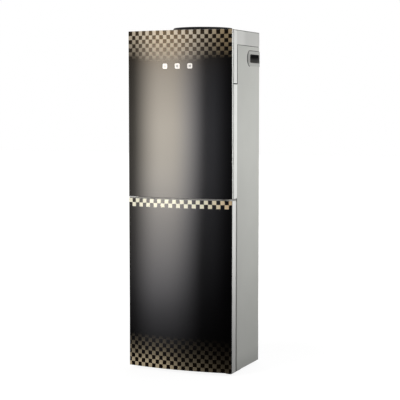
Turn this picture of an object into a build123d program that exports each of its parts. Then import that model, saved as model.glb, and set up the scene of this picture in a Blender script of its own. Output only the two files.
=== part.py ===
from build123d import *
from math import cos, radians, sin, sqrt
import os

os.makedirs("parts", exist_ok=True)

# Floor-standing water dispenser. Millimetres, +Z up, the doors face -Y.
# The origin is the centre of the footprint, on the floor.

# Cabinet
body_width = 312.0
side_depth = 212.0  # from the doors' front corners to the rear bend
rear_chamfer = 58.0
sheet = 1.2
bend_radius = 3.0
front_flange = 22.0
rear_flange = 14.0
seam = 1.8  # visible joint between mouldings
fit_gap = 0.3  # between pieces that rest on one another

# Heights, from the floor up
foot_height = 8.0
hinge_play = 0.5
lower_door_height = 477.5
door_gap = 5.0
upper_door_height = 458.5
lip_gap = 1.0
cover_wall = 3.0
cover_tongue = 8.0  # inside the side panels
rim_round = 0.8
rim_groove = 1.2
rim_drop = 1.0
rim_depth = 0.8
skirt_height = 40.0
apron_height = 147.5

# Doors
door_bow = 15.5
glass = 4.0
door_skin = 2.0
upper_door_edge = 12.0
upper_door_gap = 2.0
upper_rim = 24.0
lower_door_edge = 33.0
lower_rim = 20.0
gasket_gap = 7.0
gasket_width = 12.0
gasket_base = 3.0
gasket_corner = 3.0
gasket_step = 1.5
door_liner = 2.0
door_liner_bulge = 20.0
door_liner_margin = 44.0
door_liner_corner = 4.0
bulge_corner = 16.0
bulge_taper = 8.0
scoop_radius = 8.0
scoop_length = 90.0
scoop_margin = 1.0
rib = 2.5
pocket_columns = 3
pocket_rows = 4
lip_room = 1.0  # between the upper glass and the lip behind it

# Hinges
upper_pin_inset = 5.0
upper_pin_r = 2.5
top_pin_r = 1.6
pin_seat = 1.8
knuckle_clear = 0.4
lower_pin_inset = 10.0
lower_pin_r = 3.0
pin_length = 11.0
pin_end = 1.0
pin_clearance = 0.05
hinge_plate = 2.8
hinge_width = 16.0
hinge_leg = 36.0
keeper_height = 32.0
keeper_width = 11.0
keeper_depth = 1.5
magnet_depth = 8.0
magnet_inset = 16.0

# Indicators
icon_size = 16.4
icon_pitch = 37.4
icon_drop = 98.8  # below the top of the cover
lens_depth = 9.0
board_width = 118.0
board_height = 44.0
board = 1.6
boss_r = 3.0
boss_inset = 5.0
lens_corner = 2.0

# Bottle seat
seat_setback = 168.0  # behind the doors' front corners
seat_base_r = 91.5
seat_top_r = 85.5
seat_rise = 13.5
seat_edge = 4.0
seat_bevel = 2.0
seat_land = 5.0
funnel_step = 7.0
funnel_foot = 5.0
funnel_depth = 53.0
funnel_skin = 2.3
seat_wall = 3.0
throat_r = 29.0
throat_depth = 60.0
locating_r = 75.5
probe_r = 9.0
probe_height = 46.0
probe_ring = 7.0
probe_spokes = 3
probe_spoke = 4.0
probe_slot = 7.0
probe_slot_length = 16.0

# Cold tank
tank_r = 70.0
tank_wall = 1.0
tank_flange_r = 75.0
tank_flange = 1.5
tank_drop = 13.0  # flange below the underside of the cover
baffle = 2.0
baffle_gap = 16.7  # below the probe's ring
baffle_holes = 8
baffle_hole_r = 3.0
baffle_hole_inset = 14.0
sleeve = 2.0
foam_r = 86.0
foam_floor = 15.0
nozzle_r = 5.0
nozzle_bore_r = 3.5
nozzle_drop = 8.0  # below the tank shelf
tank_shelf_flange = 15.0

# Tap bay
bay_margin = 31.0  # on either side of the bay
bay_height = 270.0
bay_depth = 103.0
bay_wall = 2.5
bay_corner = 18.0
bay_sill = 12.0
bay_rim = 6.0
shelf_gap = 9.5  # between the bay's roof and the tank shelf
tray_depth = 86.0
tray_height = 22.0
tray_wall = 2.0
tray_corner = 14.0
tray_ledge = 3.0
grille_slot = 4.0
grille_pitch = 9.0
grille_thickness = 2.2

# Taps
tap_pitch = 96.0
tap_drop = 58.0  # below the bay's roof
tap_barrel_r = 10.0
tap_reach = 54.0
tap_nose = 1.5
tap_boss = 6.0
tap_shank_r = 8.0
tap_shank = 12.0
spout_r = 8.0
spout_bore_r = 5.0
spout_length = 44.0
bonnet_r = 11.0
bonnet_height = 26.0
bonnet_round = 2.0
stem_r = 3.0
stem_rise = 8.0
stem_travel = 4.0
lever_arm = 20.0
lever_pivot_r = 2.0
lever_hub_r = 4.5
lever_length = 58.0
lever_width = 22.0
lever_plate = 4.5
ear = 3.2
ear_gap = 9.8

# Hot tank
hot_tank_r = 50.0
hot_tank_height = 138.0
hot_tank_wall = 1.2
hot_tank_edge = 8.0
hot_nozzle = 12.0
hot_tank_x = -40.0
hot_tank_setback = 190.0
hot_foam = 9.5
hot_feed_x = 40.0
hose_bend = 10.0
hot_shelf_rise = 32.0  # above the upper door's lower edge

# Cabinet
pan_sheet = 1.5
pan_front = 32.0
pan_rim = 20.0
foot_r = 15.0
foot_stem_r = 4.0
foot_stem = 8.0
foot_inset = 36.0
beam_height = 32.0
beam_flange = 20.0
liner_wall = 2.0
liner_depth = 190.0
liner_rim = 10.0
liner_ledge = 6.0
shelf_rise = 130.0  # shelf above the top of the hump
shelf_wire_r = 2.0
shelf_pitch = 20.0
shelf_side_gap = 2.0
shelf_rear_gap = 4.0
shelf_overhang = 20.0  # ahead of the hump
shelf_edge = 10.0
hump_gap = 12.0

# Cooling circuit
compressor_x = 20.0
compressor_setback = 196.0
compressor_r = 50.0
compressor_height = 128.0
compressor_plate = 2.5
dome = 22.0
weld_half = 3.0
weld_proud = 2.5
compressor_plate_x = 132.0
compressor_plate_y = 92.0
grommet_r = 9.0
grommet_height = 24.0
grommet_waist_r = 4.0
terminal_size = 36.0
terminal_depth = 18.0
terminal_corner = 5.0
terminal_round = 3.0
discharge_reach = 14.0
condenser_offset = 24.0
condenser_tube_r = 2.4
condenser_passes = 11
condenser_pitch = 50.0
condenser_half = 60.0
condenser_base = 340.0
wire_r = 0.8
wire_gap = 0.1
wire_pitch = 11.0
wire_columns = 15
wire_overhang = 12.0
clip_width = 8.0
clip_height = 14.0
suction_r = 3.2
capillary_r = 1.5
line_bend = 9.0
line_setback = 246.0
line_inset = 48.0  # inside the side panels
drier_x = 70.0
drier_setback = 252.0
drier_r = 9.0
drier_length = 80.0
drier_base = 130.0

# Rear panel and what it carries
rear_panel_base = 250.0
rear_panel_inset = 1.5
vent_length = 40.0
vent_width = 4.0
vent_pitch_x = 56.0
vent_pitch_z = 12.0
vent_rows = 5
vent_columns = 3
switch_drop = 76.0  # below the top of the cover
switch_plate_width = 84.0
switch_plate_height = 36.0
switch_plate = 2.0
switch_plate_corner = 4.0
switch_pitch = 36.0
rocker_width = 14.0
rocker_height = 22.0
rocker_depth = 12.0
rocker_sink = 2.5  # pivot, inside the rear panel's face
rocker_tilt = 9.0
rocker_gap = 1.0
switch_box_wall = 1.6
switch_box_depth = 16.0
gland_x = 45.0
gland_z = 276.0
gland_r = 9.0
gland_bore_r = 4.0
gland_flange_r = 12.5
gland_flange = 2.5
gland_length = 16.0
drain_x = -60.0
drain_z = 290.0
drain_r = 5.0
drain_thread_r = 6.5
drain_thread = 14.0
drain_flange_r = 11.0
cap_r = 10.0
cap_end = 3.0
cap_flutes = 12

# Hand grips
grip_drop = 75.5  # below the top of the cover
grip_slot = 24.0
grip_front = 77.0  # slot, ahead of the rear bend
grip_end = 4.0  # slot, short of the rear bend
grip_flange = 7.0
grip_margin = 20.0
grip_proud = 1.2
grip_depth = 30.0
grip_wall = 2.0
grip_corner = 5.0

# Places that follow from the sizes above
half_width = body_width / 2
bow_radius = (half_width**2 + door_bow**2) / (2 * door_bow)
condenser_reach = condenser_offset + condenser_tube_r + wire_gap + 2 * wire_r
overall_depth = door_bow + side_depth + rear_chamfer + sheet + condenser_reach

corner_y = door_bow - overall_depth / 2
bow_center_y = corner_y - door_bow + bow_radius
upper_rear_y = corner_y + upper_door_edge
frame_y = upper_rear_y + upper_door_gap
lower_rear_y = corner_y + lower_door_edge
panel_y = lower_rear_y + gasket_gap
bend_y = corner_y + side_depth
rear_y = bend_y + rear_chamfer
back_y = rear_y + sheet
condenser_y = back_y + condenser_offset
seat_y = corner_y + seat_setback

lower_door_bottom = foot_height + hinge_play
lower_door_top = lower_door_bottom + lower_door_height
upper_door_bottom = lower_door_top + door_gap
upper_door_top = upper_door_bottom + upper_door_height
cover_top = upper_door_top + lip_gap + cover_wall
skirt_bottom = cover_top - skirt_height
apron_bottom = cover_top - apron_height
panel_height = skirt_bottom - seam - foot_height
icon_z = cover_top - icon_drop
grip_z = cover_top - grip_drop
lip_setback = glass + lip_room
upper_glass_top = cover_top - hinge_play

bay_width = body_width - 2 * bay_margin
bay_bottom = upper_door_bottom + bay_sill
bay_top = bay_bottom + bay_height
bay_front_y = frame_y + cover_wall + fit_gap
bay_back_y = bay_front_y + bay_depth
tray_width = bay_width - 2 * bay_corner
tap_z = bay_top - tap_drop
tap_y = bay_back_y - tap_reach + spout_r

tank_shelf_z = bay_top + bay_wall + shelf_gap
tank_bottom = tank_shelf_z + sheet + foam_floor + fit_gap
tank_top = cover_top - cover_wall - tank_drop
nozzle_bottom = tank_shelf_z - nozzle_drop
hot_feed_y = corner_y + hot_tank_setback

upper_pin_x = half_width - upper_pin_inset
upper_knuckle_r = upper_pin_inset - knuckle_clear
upper_pin_y = upper_rear_y - upper_knuckle_r
lower_pin_x = half_width - lower_pin_inset
lower_pin_y = corner_y + lower_door_edge / 2
hinge_x = half_width - cover_wall - fit_gap - hinge_width / 2


# Plane that faces the doors, at a depth y; a negative extrusion runs to the back
def facing(y):
    return Plane.XZ.offset(-y)


# Plane through a vertical axis, where local x is the radius and local y the height above z
def turning(x, y, z):
    return Plane(origin=(x, y, z), x_dir=(1, 0, 0), z_dir=(0, -1, 0))


# Depth of the bowed door face, or of a layer behind it
def bow_y(x, setback):
    return bow_center_y - sqrt((bow_radius - setback) ** 2 - x**2)


# Plan of a layer with a bowed front and a straight back
def bowed_plan(setback, half, rear):
    with BuildSketch() as plan:
        with BuildLine():
            front = ThreePointArc(
                (-half, bow_y(half, setback)), (0, bow_y(0, setback)), (half, bow_y(half, setback))
            )
            Polyline(front @ 1, (half, rear), (-half, rear), front @ 0)
        make_face()
    return plan.sketch


# Plan of a bent glass pane
def pane_plan(half):
    with BuildSketch() as plan:
        with BuildLine():
            outer = ThreePointArc((-half, bow_y(half, 0)), (0, bow_y(0, 0)), (half, bow_y(half, 0)))
            inner = ThreePointArc(
                (-half, bow_y(half, glass)), (0, bow_y(0, glass)), (half, bow_y(half, glass))
            )
            Line(outer @ 0, inner @ 0)
            Line(outer @ 1, inner @ 1)
        make_face()
    return plan.sketch


# Plan of the cabinet with its two rear corners cut at 45 degrees
def body_plan(inset, face_y, corner):
    half = half_width - inset
    rear = rear_y - inset
    diagonal = half_width + bend_y - inset * sqrt(2)
    with BuildSketch() as plan:
        with BuildLine():
            Polyline(
                (-half, face_y),
                (half, face_y),
                (half, diagonal - half),
                (diagonal - rear, rear),
                (rear - diagonal, rear),
                (-half, diagonal - half),
                close=True,
            )
        make_face()
        fillet(plan.vertices(), corner)
    return plan.sketch


# Round bar or tube along straight runs joined by arcs
def bent_rod(points, bend, radius):
    with BuildPart() as rod:
        with BuildLine() as path:
            FilletPolyline(*points, radius=bend)
        with BuildSketch(Plane(origin=path.line @ 0, z_dir=path.line % 0)):
            Circle(radius)
        sweep()
    return rod.part


# Base pan
pan_face_y = panel_y + sheet + fit_gap
pan_inset = sheet + fit_gap
foot_x = half_width - foot_inset
rear_foot_x = half_width - rear_chamfer - foot_r / 2
foot_points = [
    (-foot_x, panel_y + foot_inset),
    (foot_x, panel_y + foot_inset),
    (-rear_foot_x, rear_y - foot_inset),
    (rear_foot_x, rear_y - foot_inset),
]
compressor_y = corner_y + compressor_setback
grommet_dx = compressor_plate_x / 2 - grommet_r
grommet_dy = compressor_plate_y / 2 - grommet_r
grommet_points = [
    (compressor_x + side * grommet_dx, compressor_y + end * grommet_dy) for side in (-1, 1) for end in (-1, 1)
]
with BuildPart() as base_pan:
    with BuildSketch(Plane.XY.offset(foot_height)):
        add(body_plan(pan_inset, pan_face_y, bend_radius))
    extrude(amount=pan_front)
    with BuildSketch(Plane.XY.offset(foot_height + pan_sheet)):
        add(body_plan(pan_inset + pan_sheet, pan_face_y + pan_sheet, bend_radius))
    extrude(amount=pan_front, mode=Mode.SUBTRACT)
    with BuildSketch(Plane.XY.offset(foot_height + pan_rim)):
        with Locations((0, (pan_face_y + pan_sheet + rear_y) / 2)):
            Rectangle(body_width, rear_y - pan_face_y - pan_sheet)
    extrude(amount=pan_front, mode=Mode.SUBTRACT)
    with BuildSketch(Plane.XY.offset(foot_height)):
        with Locations(*foot_points):
            Circle(foot_stem_r)
    extrude(amount=pan_sheet, mode=Mode.SUBTRACT)
base_pan.part.label = "base_pan"
export_step(base_pan.part, "parts/base_pan.step")

with BuildPart() as feet:
    with BuildSketch():
        with Locations(*foot_points):
            Circle(foot_r)
    extrude(amount=foot_height)
    chamfer(feet.edges().group_by(Axis.Z)[0], foot_height / 5)
    with BuildSketch(Plane.XY.offset(foot_height)):
        with Locations(*foot_points):
            Circle(foot_stem_r)
    extrude(amount=foot_stem)
feet.part.label = "feet"
export_step(feet.part, "parts/feet.step")


# Hand grip outlines, seen from the side
grip_front_y = bend_y - grip_front
grip_back_y = bend_y - grip_end
grip_rim_z = grip_slot / 2 + grip_wall + grip_flange


def grip_slot_plan(margin):
    with BuildSketch() as outline:
        with Locations(((grip_front_y + grip_back_y) / 2, grip_z)):
            RectangleRounded(
                grip_back_y - grip_front_y + 2 * margin, grip_slot + 2 * margin, grip_corner + margin
            )
    return outline.sketch


def grip_bezel_plan():
    with BuildSketch() as outline:
        with BuildLine():
            bulge = ThreePointArc(
                (grip_front_y, grip_z - grip_rim_z),
                (grip_front_y - grip_margin, grip_z),
                (grip_front_y, grip_z + grip_rim_z),
            )
            rear = grip_back_y + grip_margin / 2
            Polyline(bulge @ 1, (rear, grip_z + grip_rim_z), (rear, grip_z - grip_rim_z), bulge @ 0)
        make_face()
    return outline.sketch


# Side panels, bent from one sheet
with BuildPart() as right_side_panel:
    with BuildSketch(Plane.XY.offset(foot_height)):
        with BuildLine():
            FilletPolyline(
                (half_width - front_flange, panel_y),
                (half_width, panel_y),
                (half_width, bend_y),
                (half_width - rear_chamfer, rear_y),
                (half_width - rear_chamfer - rear_flange, rear_y),
                radius=bend_radius,
            )
            offset(amount=sheet, side=Side.LEFT)
        make_face()
    extrude(amount=panel_height)
    with BuildSketch(Plane.YZ.offset(half_width - rear_chamfer)):
        add(grip_slot_plan(grip_wall + fit_gap))
    extrude(amount=rear_chamfer, mode=Mode.SUBTRACT)
right_side_panel.part.label = "right_side_panel"
export_step(right_side_panel.part, "parts/right_side_panel.step")

with BuildPart() as left_side_panel:
    mirror(right_side_panel.part, about=Plane.YZ)
left_side_panel.part.label = "left_side_panel"
export_step(left_side_panel.part, "parts/left_side_panel.step")

# Hand grips: a bezel that follows the bend, with a pocket behind the slot
with BuildPart() as right_hand_grip:
    with BuildSketch(Plane.YZ.offset(half_width - rear_chamfer)):
        add(grip_bezel_plan())
    extrude(amount=rear_chamfer + grip_proud)
    with BuildSketch(Plane.XY.offset(grip_z - grip_rim_z)):
        add(body_plan(-grip_proud, corner_y, bend_radius))
        add(body_plan(-fit_gap, corner_y, bend_radius), mode=Mode.SUBTRACT)
    extrude(amount=2 * grip_rim_z, mode=Mode.INTERSECT)
    with BuildSketch(Plane.YZ.offset(half_width - grip_depth)):
        add(grip_slot_plan(grip_wall))
    extrude(amount=grip_depth + grip_proud)
    with BuildSketch(Plane.XY.offset(grip_z - grip_rim_z)):
        add(body_plan(-grip_proud, corner_y, bend_radius))
    extrude(amount=2 * grip_rim_z, mode=Mode.INTERSECT)
    with BuildSketch(Plane.YZ.offset(half_width - grip_depth + grip_wall)):
        add(grip_slot_plan(0))
    extrude(amount=grip_depth + grip_proud, mode=Mode.SUBTRACT)
right_hand_grip.part.label = "right_hand_grip"
export_step(right_hand_grip.part, "parts/right_hand_grip.step")

with BuildPart() as left_hand_grip:
    mirror(right_hand_grip.part, about=Plane.YZ)
left_hand_grip.part.label = "left_hand_grip"
export_step(left_hand_grip.part, "parts/left_hand_grip.step")

# Rear panel
rear_panel_half = half_width - rear_chamfer - rear_panel_inset
switch_z = cover_top - switch_drop
rear_panel_top = skirt_bottom - seam
vent_mid_z = rear_panel_base + (condenser_base - rear_panel_base) / 2
with BuildPart() as rear_panel:
    with BuildSketch(facing(rear_y)):
        with Locations((0, (rear_panel_base + rear_panel_top) / 2)):
            Rectangle(2 * rear_panel_half, rear_panel_top - rear_panel_base)
        with Locations((0, switch_z)):
            with GridLocations(switch_pitch, 1, 2, 1):
                Rectangle(
                    rocker_width + 2 * switch_box_wall + 2 * rocker_gap + fit_gap,
                    rocker_height + 2 * switch_box_wall + 2 * rocker_gap + fit_gap,
                    mode=Mode.SUBTRACT,
                )
        with Locations((gland_x, gland_z)):
            Circle(gland_r, mode=Mode.SUBTRACT)
        with Locations((drain_x, drain_z)):
            Circle(drain_thread_r + fit_gap, mode=Mode.SUBTRACT)
        with Locations((0, (condenser_base + rear_panel_top) / 2)):
            with GridLocations(vent_pitch_x, vent_pitch_z, vent_columns, vent_rows):
                SlotOverall(vent_length, vent_width, mode=Mode.SUBTRACT)
    extrude(amount=-sheet)
rear_panel.part.label = "rear_panel"
export_step(rear_panel.part, "parts/rear_panel.step")

# Condenser wires, brackets and tube
condenser_top = condenser_base + (condenser_passes - 1) * condenser_pitch
wire_length = condenser_top - condenser_base + 2 * wire_overhang
wire_offset = condenser_tube_r + wire_gap + wire_r
with BuildPart() as condenser_wires:
    with BuildSketch(Plane.XY.offset(condenser_base - wire_overhang)):
        with Locations((0, condenser_y)):
            with GridLocations(wire_pitch, 2 * wire_offset, wire_columns, 2):
                Circle(wire_r)
    extrude(amount=wire_length)
condenser_wires.part.label = "condenser_wires"
export_step(condenser_wires.part, "parts/condenser_wires.step")

clip_x = (wire_columns // 4 + 1 / 2) * wire_pitch
with BuildPart() as condenser_brackets:
    with BuildSketch(facing(back_y)):
        with Locations((0, (condenser_base + condenser_top) / 2)):
            with GridLocations(2 * clip_x, condenser_top - condenser_base - 2 * condenser_pitch, 2, 2):
                Rectangle(clip_width, clip_height)
    extrude(amount=-condenser_offset)
    with BuildSketch(Plane.YZ.offset(-half_width)):
        with Locations((condenser_y, (condenser_base + condenser_top) / 2)):
            with GridLocations(1, condenser_top - condenser_base - 2 * condenser_pitch, 1, 2):
                Circle(condenser_tube_r + wire_gap)
    extrude(amount=body_width, mode=Mode.SUBTRACT)
condenser_brackets.part.label = "condenser_brackets"
export_step(condenser_brackets.part, "parts/condenser_brackets.step")

# Compressor on four rubber grommets
compressor_base = foot_height + pan_sheet + grommet_height
compressor_top = compressor_base + compressor_plate + compressor_height
dome_radius = (compressor_r**2 + dome**2) / (2 * dome)
dome_mid = dome_radius - sqrt(dome_radius**2 - compressor_r**2 / 4)
weld_z = (compressor_base + compressor_top) / 2
with BuildPart() as compressor:
    with BuildSketch(turning(compressor_x, compressor_y, 0)):
        with BuildLine():
            wall = Polyline(
                (0, compressor_base),
                (compressor_r - dome / 3, compressor_base),
                (compressor_r, compressor_base + dome / 2),
                (compressor_r, weld_z - weld_half),
                (compressor_r + weld_proud, weld_z - weld_half),
                (compressor_r + weld_proud, weld_z + weld_half),
                (compressor_r, weld_z + weld_half),
                (compressor_r, compressor_top - dome),
            )
            crown = ThreePointArc(
                wall @ 1, (compressor_r / 2, compressor_top - dome_mid), (0, compressor_top)
            )
            Line(crown @ 1, wall @ 0)
        make_face()
    revolve(axis=Axis((compressor_x, compressor_y, 0), (0, 0, 1)))
    with BuildSketch(Plane.XY.offset(compressor_base)):
        with Locations((compressor_x, compressor_y)):
            RectangleRounded(compressor_plate_x, compressor_plate_y, grommet_r)
        with Locations(*grommet_points):
            Circle(grommet_waist_r + fit_gap, mode=Mode.SUBTRACT)
    extrude(amount=compressor_plate)
compressor.part.label = "compressor"
export_step(compressor.part, "parts/compressor.step")

with BuildPart() as compressor_grommets:
    with BuildSketch(Plane.XY.offset(foot_height + pan_sheet)):
        with Locations(*grommet_points):
            Circle(grommet_r)
    extrude(amount=grommet_height)
    with BuildSketch(Plane.XY.offset(compressor_base)):
        with Locations(*grommet_points):
            Circle(grommet_waist_r)
    extrude(amount=compressor_plate + grommet_waist_r)
compressor_grommets.part.label = "compressor_grommets"
export_step(compressor_grommets.part, "parts/compressor_grommets.step")

terminal_z = weld_z + weld_half + terminal_size / 2 + seam
with BuildPart() as compressor_terminal_cover:
    with BuildSketch(Plane.YZ.offset(compressor_x - compressor_r - terminal_depth)):
        with Locations((compressor_y, terminal_z)):
            RectangleRounded(terminal_size, terminal_size, terminal_corner)
    extrude(amount=terminal_depth + compressor_r / 2)
    with BuildSketch(Plane.XY.offset(compressor_base)):
        with Locations((compressor_x, compressor_y)):
            Circle(compressor_r + fit_gap)
    extrude(amount=compressor_height, mode=Mode.SUBTRACT)
    fillet(compressor_terminal_cover.faces().sort_by(Axis.X)[0].edges(), terminal_round)
compressor_terminal_cover.part.label = "compressor_terminal_cover"
export_step(compressor_terminal_cover.part, "parts/compressor_terminal_cover.step")

drier_y = corner_y + drier_setback
with BuildPart() as filter_drier:
    with BuildSketch(turning(drier_x, drier_y, 0)):
        with BuildLine():
            Polyline(
                (0, drier_base),
                (condenser_tube_r, drier_base),
                (drier_r, drier_base + drier_r),
                (drier_r, drier_base + drier_length - drier_r),
                (condenser_tube_r, drier_base + drier_length),
                (0, drier_base + drier_length),
                close=True,
            )
        make_face()
    revolve(axis=Axis((drier_x, drier_y, 0), (0, 0, 1)))
filter_drier.part.label = "filter_drier"
export_step(filter_drier.part, "parts/filter_drier.step")

# Condenser tube: the line from the compressor, passes that run to and fro, the line to the drier
line_y = corner_y + line_setback
crossing_z = rear_panel_base - 2 * line_bend
turn_x = condenser_half + condenser_pitch / 2
riser_x = turn_x + condenser_tube_r + line_bend
gas_z = weld_z - 2 * line_bend
sleeve_z = (tank_bottom + tank_top) / 2
line_x = half_width - line_inset
foam_share = (foam_r + fit_gap) / sqrt(line_x**2 + (line_y - seat_y) ** 2)
foam_end_x = foam_share * line_x
foam_end_y = seat_y + foam_share * (line_y - seat_y)
discharge_y = compressor_y + compressor_r + discharge_reach
discharge_line = bent_rod(
    [
        (compressor_x, compressor_y + compressor_r + fit_gap, gas_z),
        (compressor_x, discharge_y, gas_z),
        (compressor_x, discharge_y, crossing_z),
        (-drier_x, discharge_y, crossing_z),
        (-drier_x, condenser_y, crossing_z),
        (-riser_x, condenser_y, crossing_z),
        (-riser_x, condenser_y, condenser_top),
        (-condenser_half, condenser_y, condenser_top),
    ],
    line_bend,
    condenser_tube_r,
)
liquid_line = bent_rod(
    [
        (condenser_half, condenser_y, condenser_base),
        (drier_x, condenser_y, condenser_base),
        (drier_x, condenser_y, crossing_z),
        (drier_x, drier_y, crossing_z),
        (drier_x, drier_y, drier_base + drier_length + fit_gap),
    ],
    line_bend / 2,
    condenser_tube_r,
)
with BuildPart() as condenser_tube:
    with BuildLine() as condenser_path:
        heading = 1
        for number in range(condenser_passes):
            height = condenser_top - number * condenser_pitch
            Line(
                (-heading * condenser_half, condenser_y, height),
                (heading * condenser_half, condenser_y, height),
            )
            if number < condenser_passes - 1:
                ThreePointArc(
                    (heading * condenser_half, condenser_y, height),
                    (heading * turn_x, condenser_y, height - condenser_pitch / 2),
                    (heading * condenser_half, condenser_y, height - condenser_pitch),
                )
            heading = -heading
    with BuildSketch(Plane(origin=condenser_path.line @ 0, z_dir=condenser_path.line % 0)):
        Circle(condenser_tube_r)
    sweep()
    add(discharge_line)
    add(liquid_line)
condenser_tube.part.label = "condenser_tube"
export_step(condenser_tube.part, "parts/condenser_tube.step")

# Lines to and from the evaporator
capillary_line = bent_rod(
    [
        (drier_x, drier_y, drier_base - fit_gap),
        (drier_x, drier_y, drier_base - 2 * line_bend),
        (line_x, line_y, drier_base - 2 * line_bend),
        (line_x, line_y, sleeve_z),
        (foam_end_x, foam_end_y, sleeve_z),
    ],
    line_bend,
    capillary_r,
)
suction_line = bent_rod(
    [
        (-foam_end_x, foam_end_y, sleeve_z),
        (-line_x, line_y, sleeve_z),
        (-line_x, line_y, gas_z),
        (-line_x, compressor_y, gas_z),
        (compressor_x - compressor_r - fit_gap, compressor_y, gas_z),
    ],
    line_bend,
    suction_r,
)
with BuildPart() as refrigerant_lines:
    add(capillary_line)
    add(suction_line)
refrigerant_lines.part.label = "refrigerant_lines"
export_step(refrigerant_lines.part, "parts/refrigerant_lines.step")

# Top cover: lid, skirt, apron behind the upper door and the lip over it
leg_rear_y = panel_y - seam
seat_hole_r = locating_r + seam
with BuildPart() as top_cover:
    with BuildSketch(Plane.XY.offset(skirt_bottom)):
        add(body_plan(0, frame_y, bend_radius))
    extrude(amount=skirt_height)
    fillet(top_cover.faces().sort_by(Axis.Z)[-1].outer_wire().edges(), rim_round)
    with BuildSketch(Plane.XY.offset(cover_top - rim_drop - rim_groove)):
        add(body_plan(-rim_depth, frame_y + cover_wall, bend_radius))
        add(body_plan(rim_depth, frame_y - cover_wall, bend_radius), mode=Mode.SUBTRACT)
    extrude(amount=rim_groove, mode=Mode.SUBTRACT)
    with BuildSketch(Plane.XY.offset(apron_bottom)):
        with Locations((0, (frame_y + leg_rear_y) / 2)):
            Rectangle(body_width, leg_rear_y - frame_y)
    extrude(amount=apron_height - skirt_height + cover_wall)
    with BuildSketch(Plane.XY.offset(skirt_bottom - cover_tongue)):
        add(body_plan(sheet + fit_gap, panel_y + sheet + fit_gap, bend_radius))
    extrude(amount=cover_tongue)
    with BuildSketch(Plane.XY.offset(skirt_bottom - cover_tongue)):
        add(body_plan(cover_wall, frame_y + cover_wall, bend_radius))
    extrude(amount=skirt_height + cover_tongue - cover_wall, mode=Mode.SUBTRACT)
    with BuildSketch(Plane.XY.offset(apron_bottom)):
        with Locations((0, (frame_y + cover_wall + leg_rear_y) / 2)):
            Rectangle(body_width - 2 * cover_wall, leg_rear_y - frame_y - cover_wall)
    extrude(amount=apron_height - cover_wall, mode=Mode.SUBTRACT)
    with BuildSketch(Plane.XY.offset(cover_top - cover_wall)):
        add(bowed_plan(lip_setback, half_width - cover_wall, frame_y + cover_wall))
    extrude(amount=cover_wall)
    with BuildSketch(Plane.XY.offset(cover_top - cover_wall)):
        with Locations((0, seat_y)):
            Circle(seat_hole_r)
    extrude(amount=cover_wall, mode=Mode.SUBTRACT)
    with BuildSketch(facing(frame_y)):
        with Locations((0, icon_z)):
            with GridLocations(icon_pitch, 1, 3, 1):
                Rectangle(icon_size + fit_gap, icon_size + fit_gap)
    extrude(amount=-cover_wall, mode=Mode.SUBTRACT)
    with BuildSketch(facing(frame_y + cover_wall)):
        with Locations((0, icon_z)):
            with GridLocations(board_width - 2 * boss_inset, board_height - 2 * boss_inset, 2, 2):
                Circle(boss_r)
    extrude(amount=-lens_depth)
    with BuildSketch(Plane.XY.offset(cover_top - cover_wall)):
        with Locations((upper_pin_x, upper_pin_y)):
            Circle(top_pin_r)
    extrude(amount=pin_seat, mode=Mode.SUBTRACT)
top_cover.part.label = "top_cover"
export_step(top_cover.part, "parts/top_cover.step")

with BuildPart() as indicator_lenses:
    with BuildSketch(facing(frame_y)):
        with Locations((0, icon_z)):
            with GridLocations(icon_pitch, 1, 3, 1):
                RectangleRounded(icon_size, icon_size, lens_corner)
    extrude(amount=-(cover_wall + lens_depth - fit_gap))
indicator_lenses.part.label = "indicator_lenses"
export_step(indicator_lenses.part, "parts/indicator_lenses.step")

with BuildPart() as indicator_board:
    with BuildSketch(facing(frame_y + cover_wall + lens_depth)):
        with Locations((0, icon_z)):
            Rectangle(board_width, board_height)
    extrude(amount=-board)
indicator_board.part.label = "indicator_board"
export_step(indicator_board.part, "parts/indicator_board.step")

# Bottle seat: a ring with slanted sides, its funnel and the neck's throat
seat_axis = Axis((0, seat_y, 0), (0, 0, 1))
land_r = seat_top_r - seat_bevel - seat_land
funnel_top = land_r - funnel_step
funnel_low = throat_r + funnel_foot
throat_top = seat_rise - funnel_depth
with BuildPart() as bottle_seat:
    with BuildSketch(turning(0, seat_y, cover_top)):
        with BuildLine():
            Polyline(
                (seat_base_r, fit_gap),
                (seat_top_r + seat_bevel / 2, seat_rise - seat_edge),
                (seat_top_r - seat_bevel, seat_rise),
                (land_r, seat_rise),
                (funnel_top, seat_rise - funnel_step),
                (funnel_low, throat_top + funnel_foot),
                (throat_r, throat_top),
                (throat_r, -throat_depth),
                (throat_r + seat_wall, -throat_depth),
                (throat_r + seat_wall, throat_top - funnel_skin / 2),
                (funnel_low + funnel_skin, throat_top + funnel_foot - funnel_skin),
                (funnel_top + funnel_skin, seat_rise - funnel_step - funnel_skin),
                (land_r + seat_wall / 3, seat_rise - seat_wall),
                (seat_top_r - seat_bevel - seat_wall / 4, seat_rise - seat_wall),
                (seat_base_r - seat_wall, fit_gap),
                close=True,
            )
        make_face()
    revolve(axis=seat_axis)
    with BuildSketch(Plane.XY.offset(tank_top + fit_gap)):
        with Locations((0, seat_y)):
            Circle(locating_r)
            Circle(locating_r - seat_wall, mode=Mode.SUBTRACT)
    extrude(amount=cover_top + seat_rise - funnel_step - tank_top - fit_gap)
bottle_seat.part.label = "bottle_seat"
export_step(bottle_seat.part, "parts/bottle_seat.step")

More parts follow.
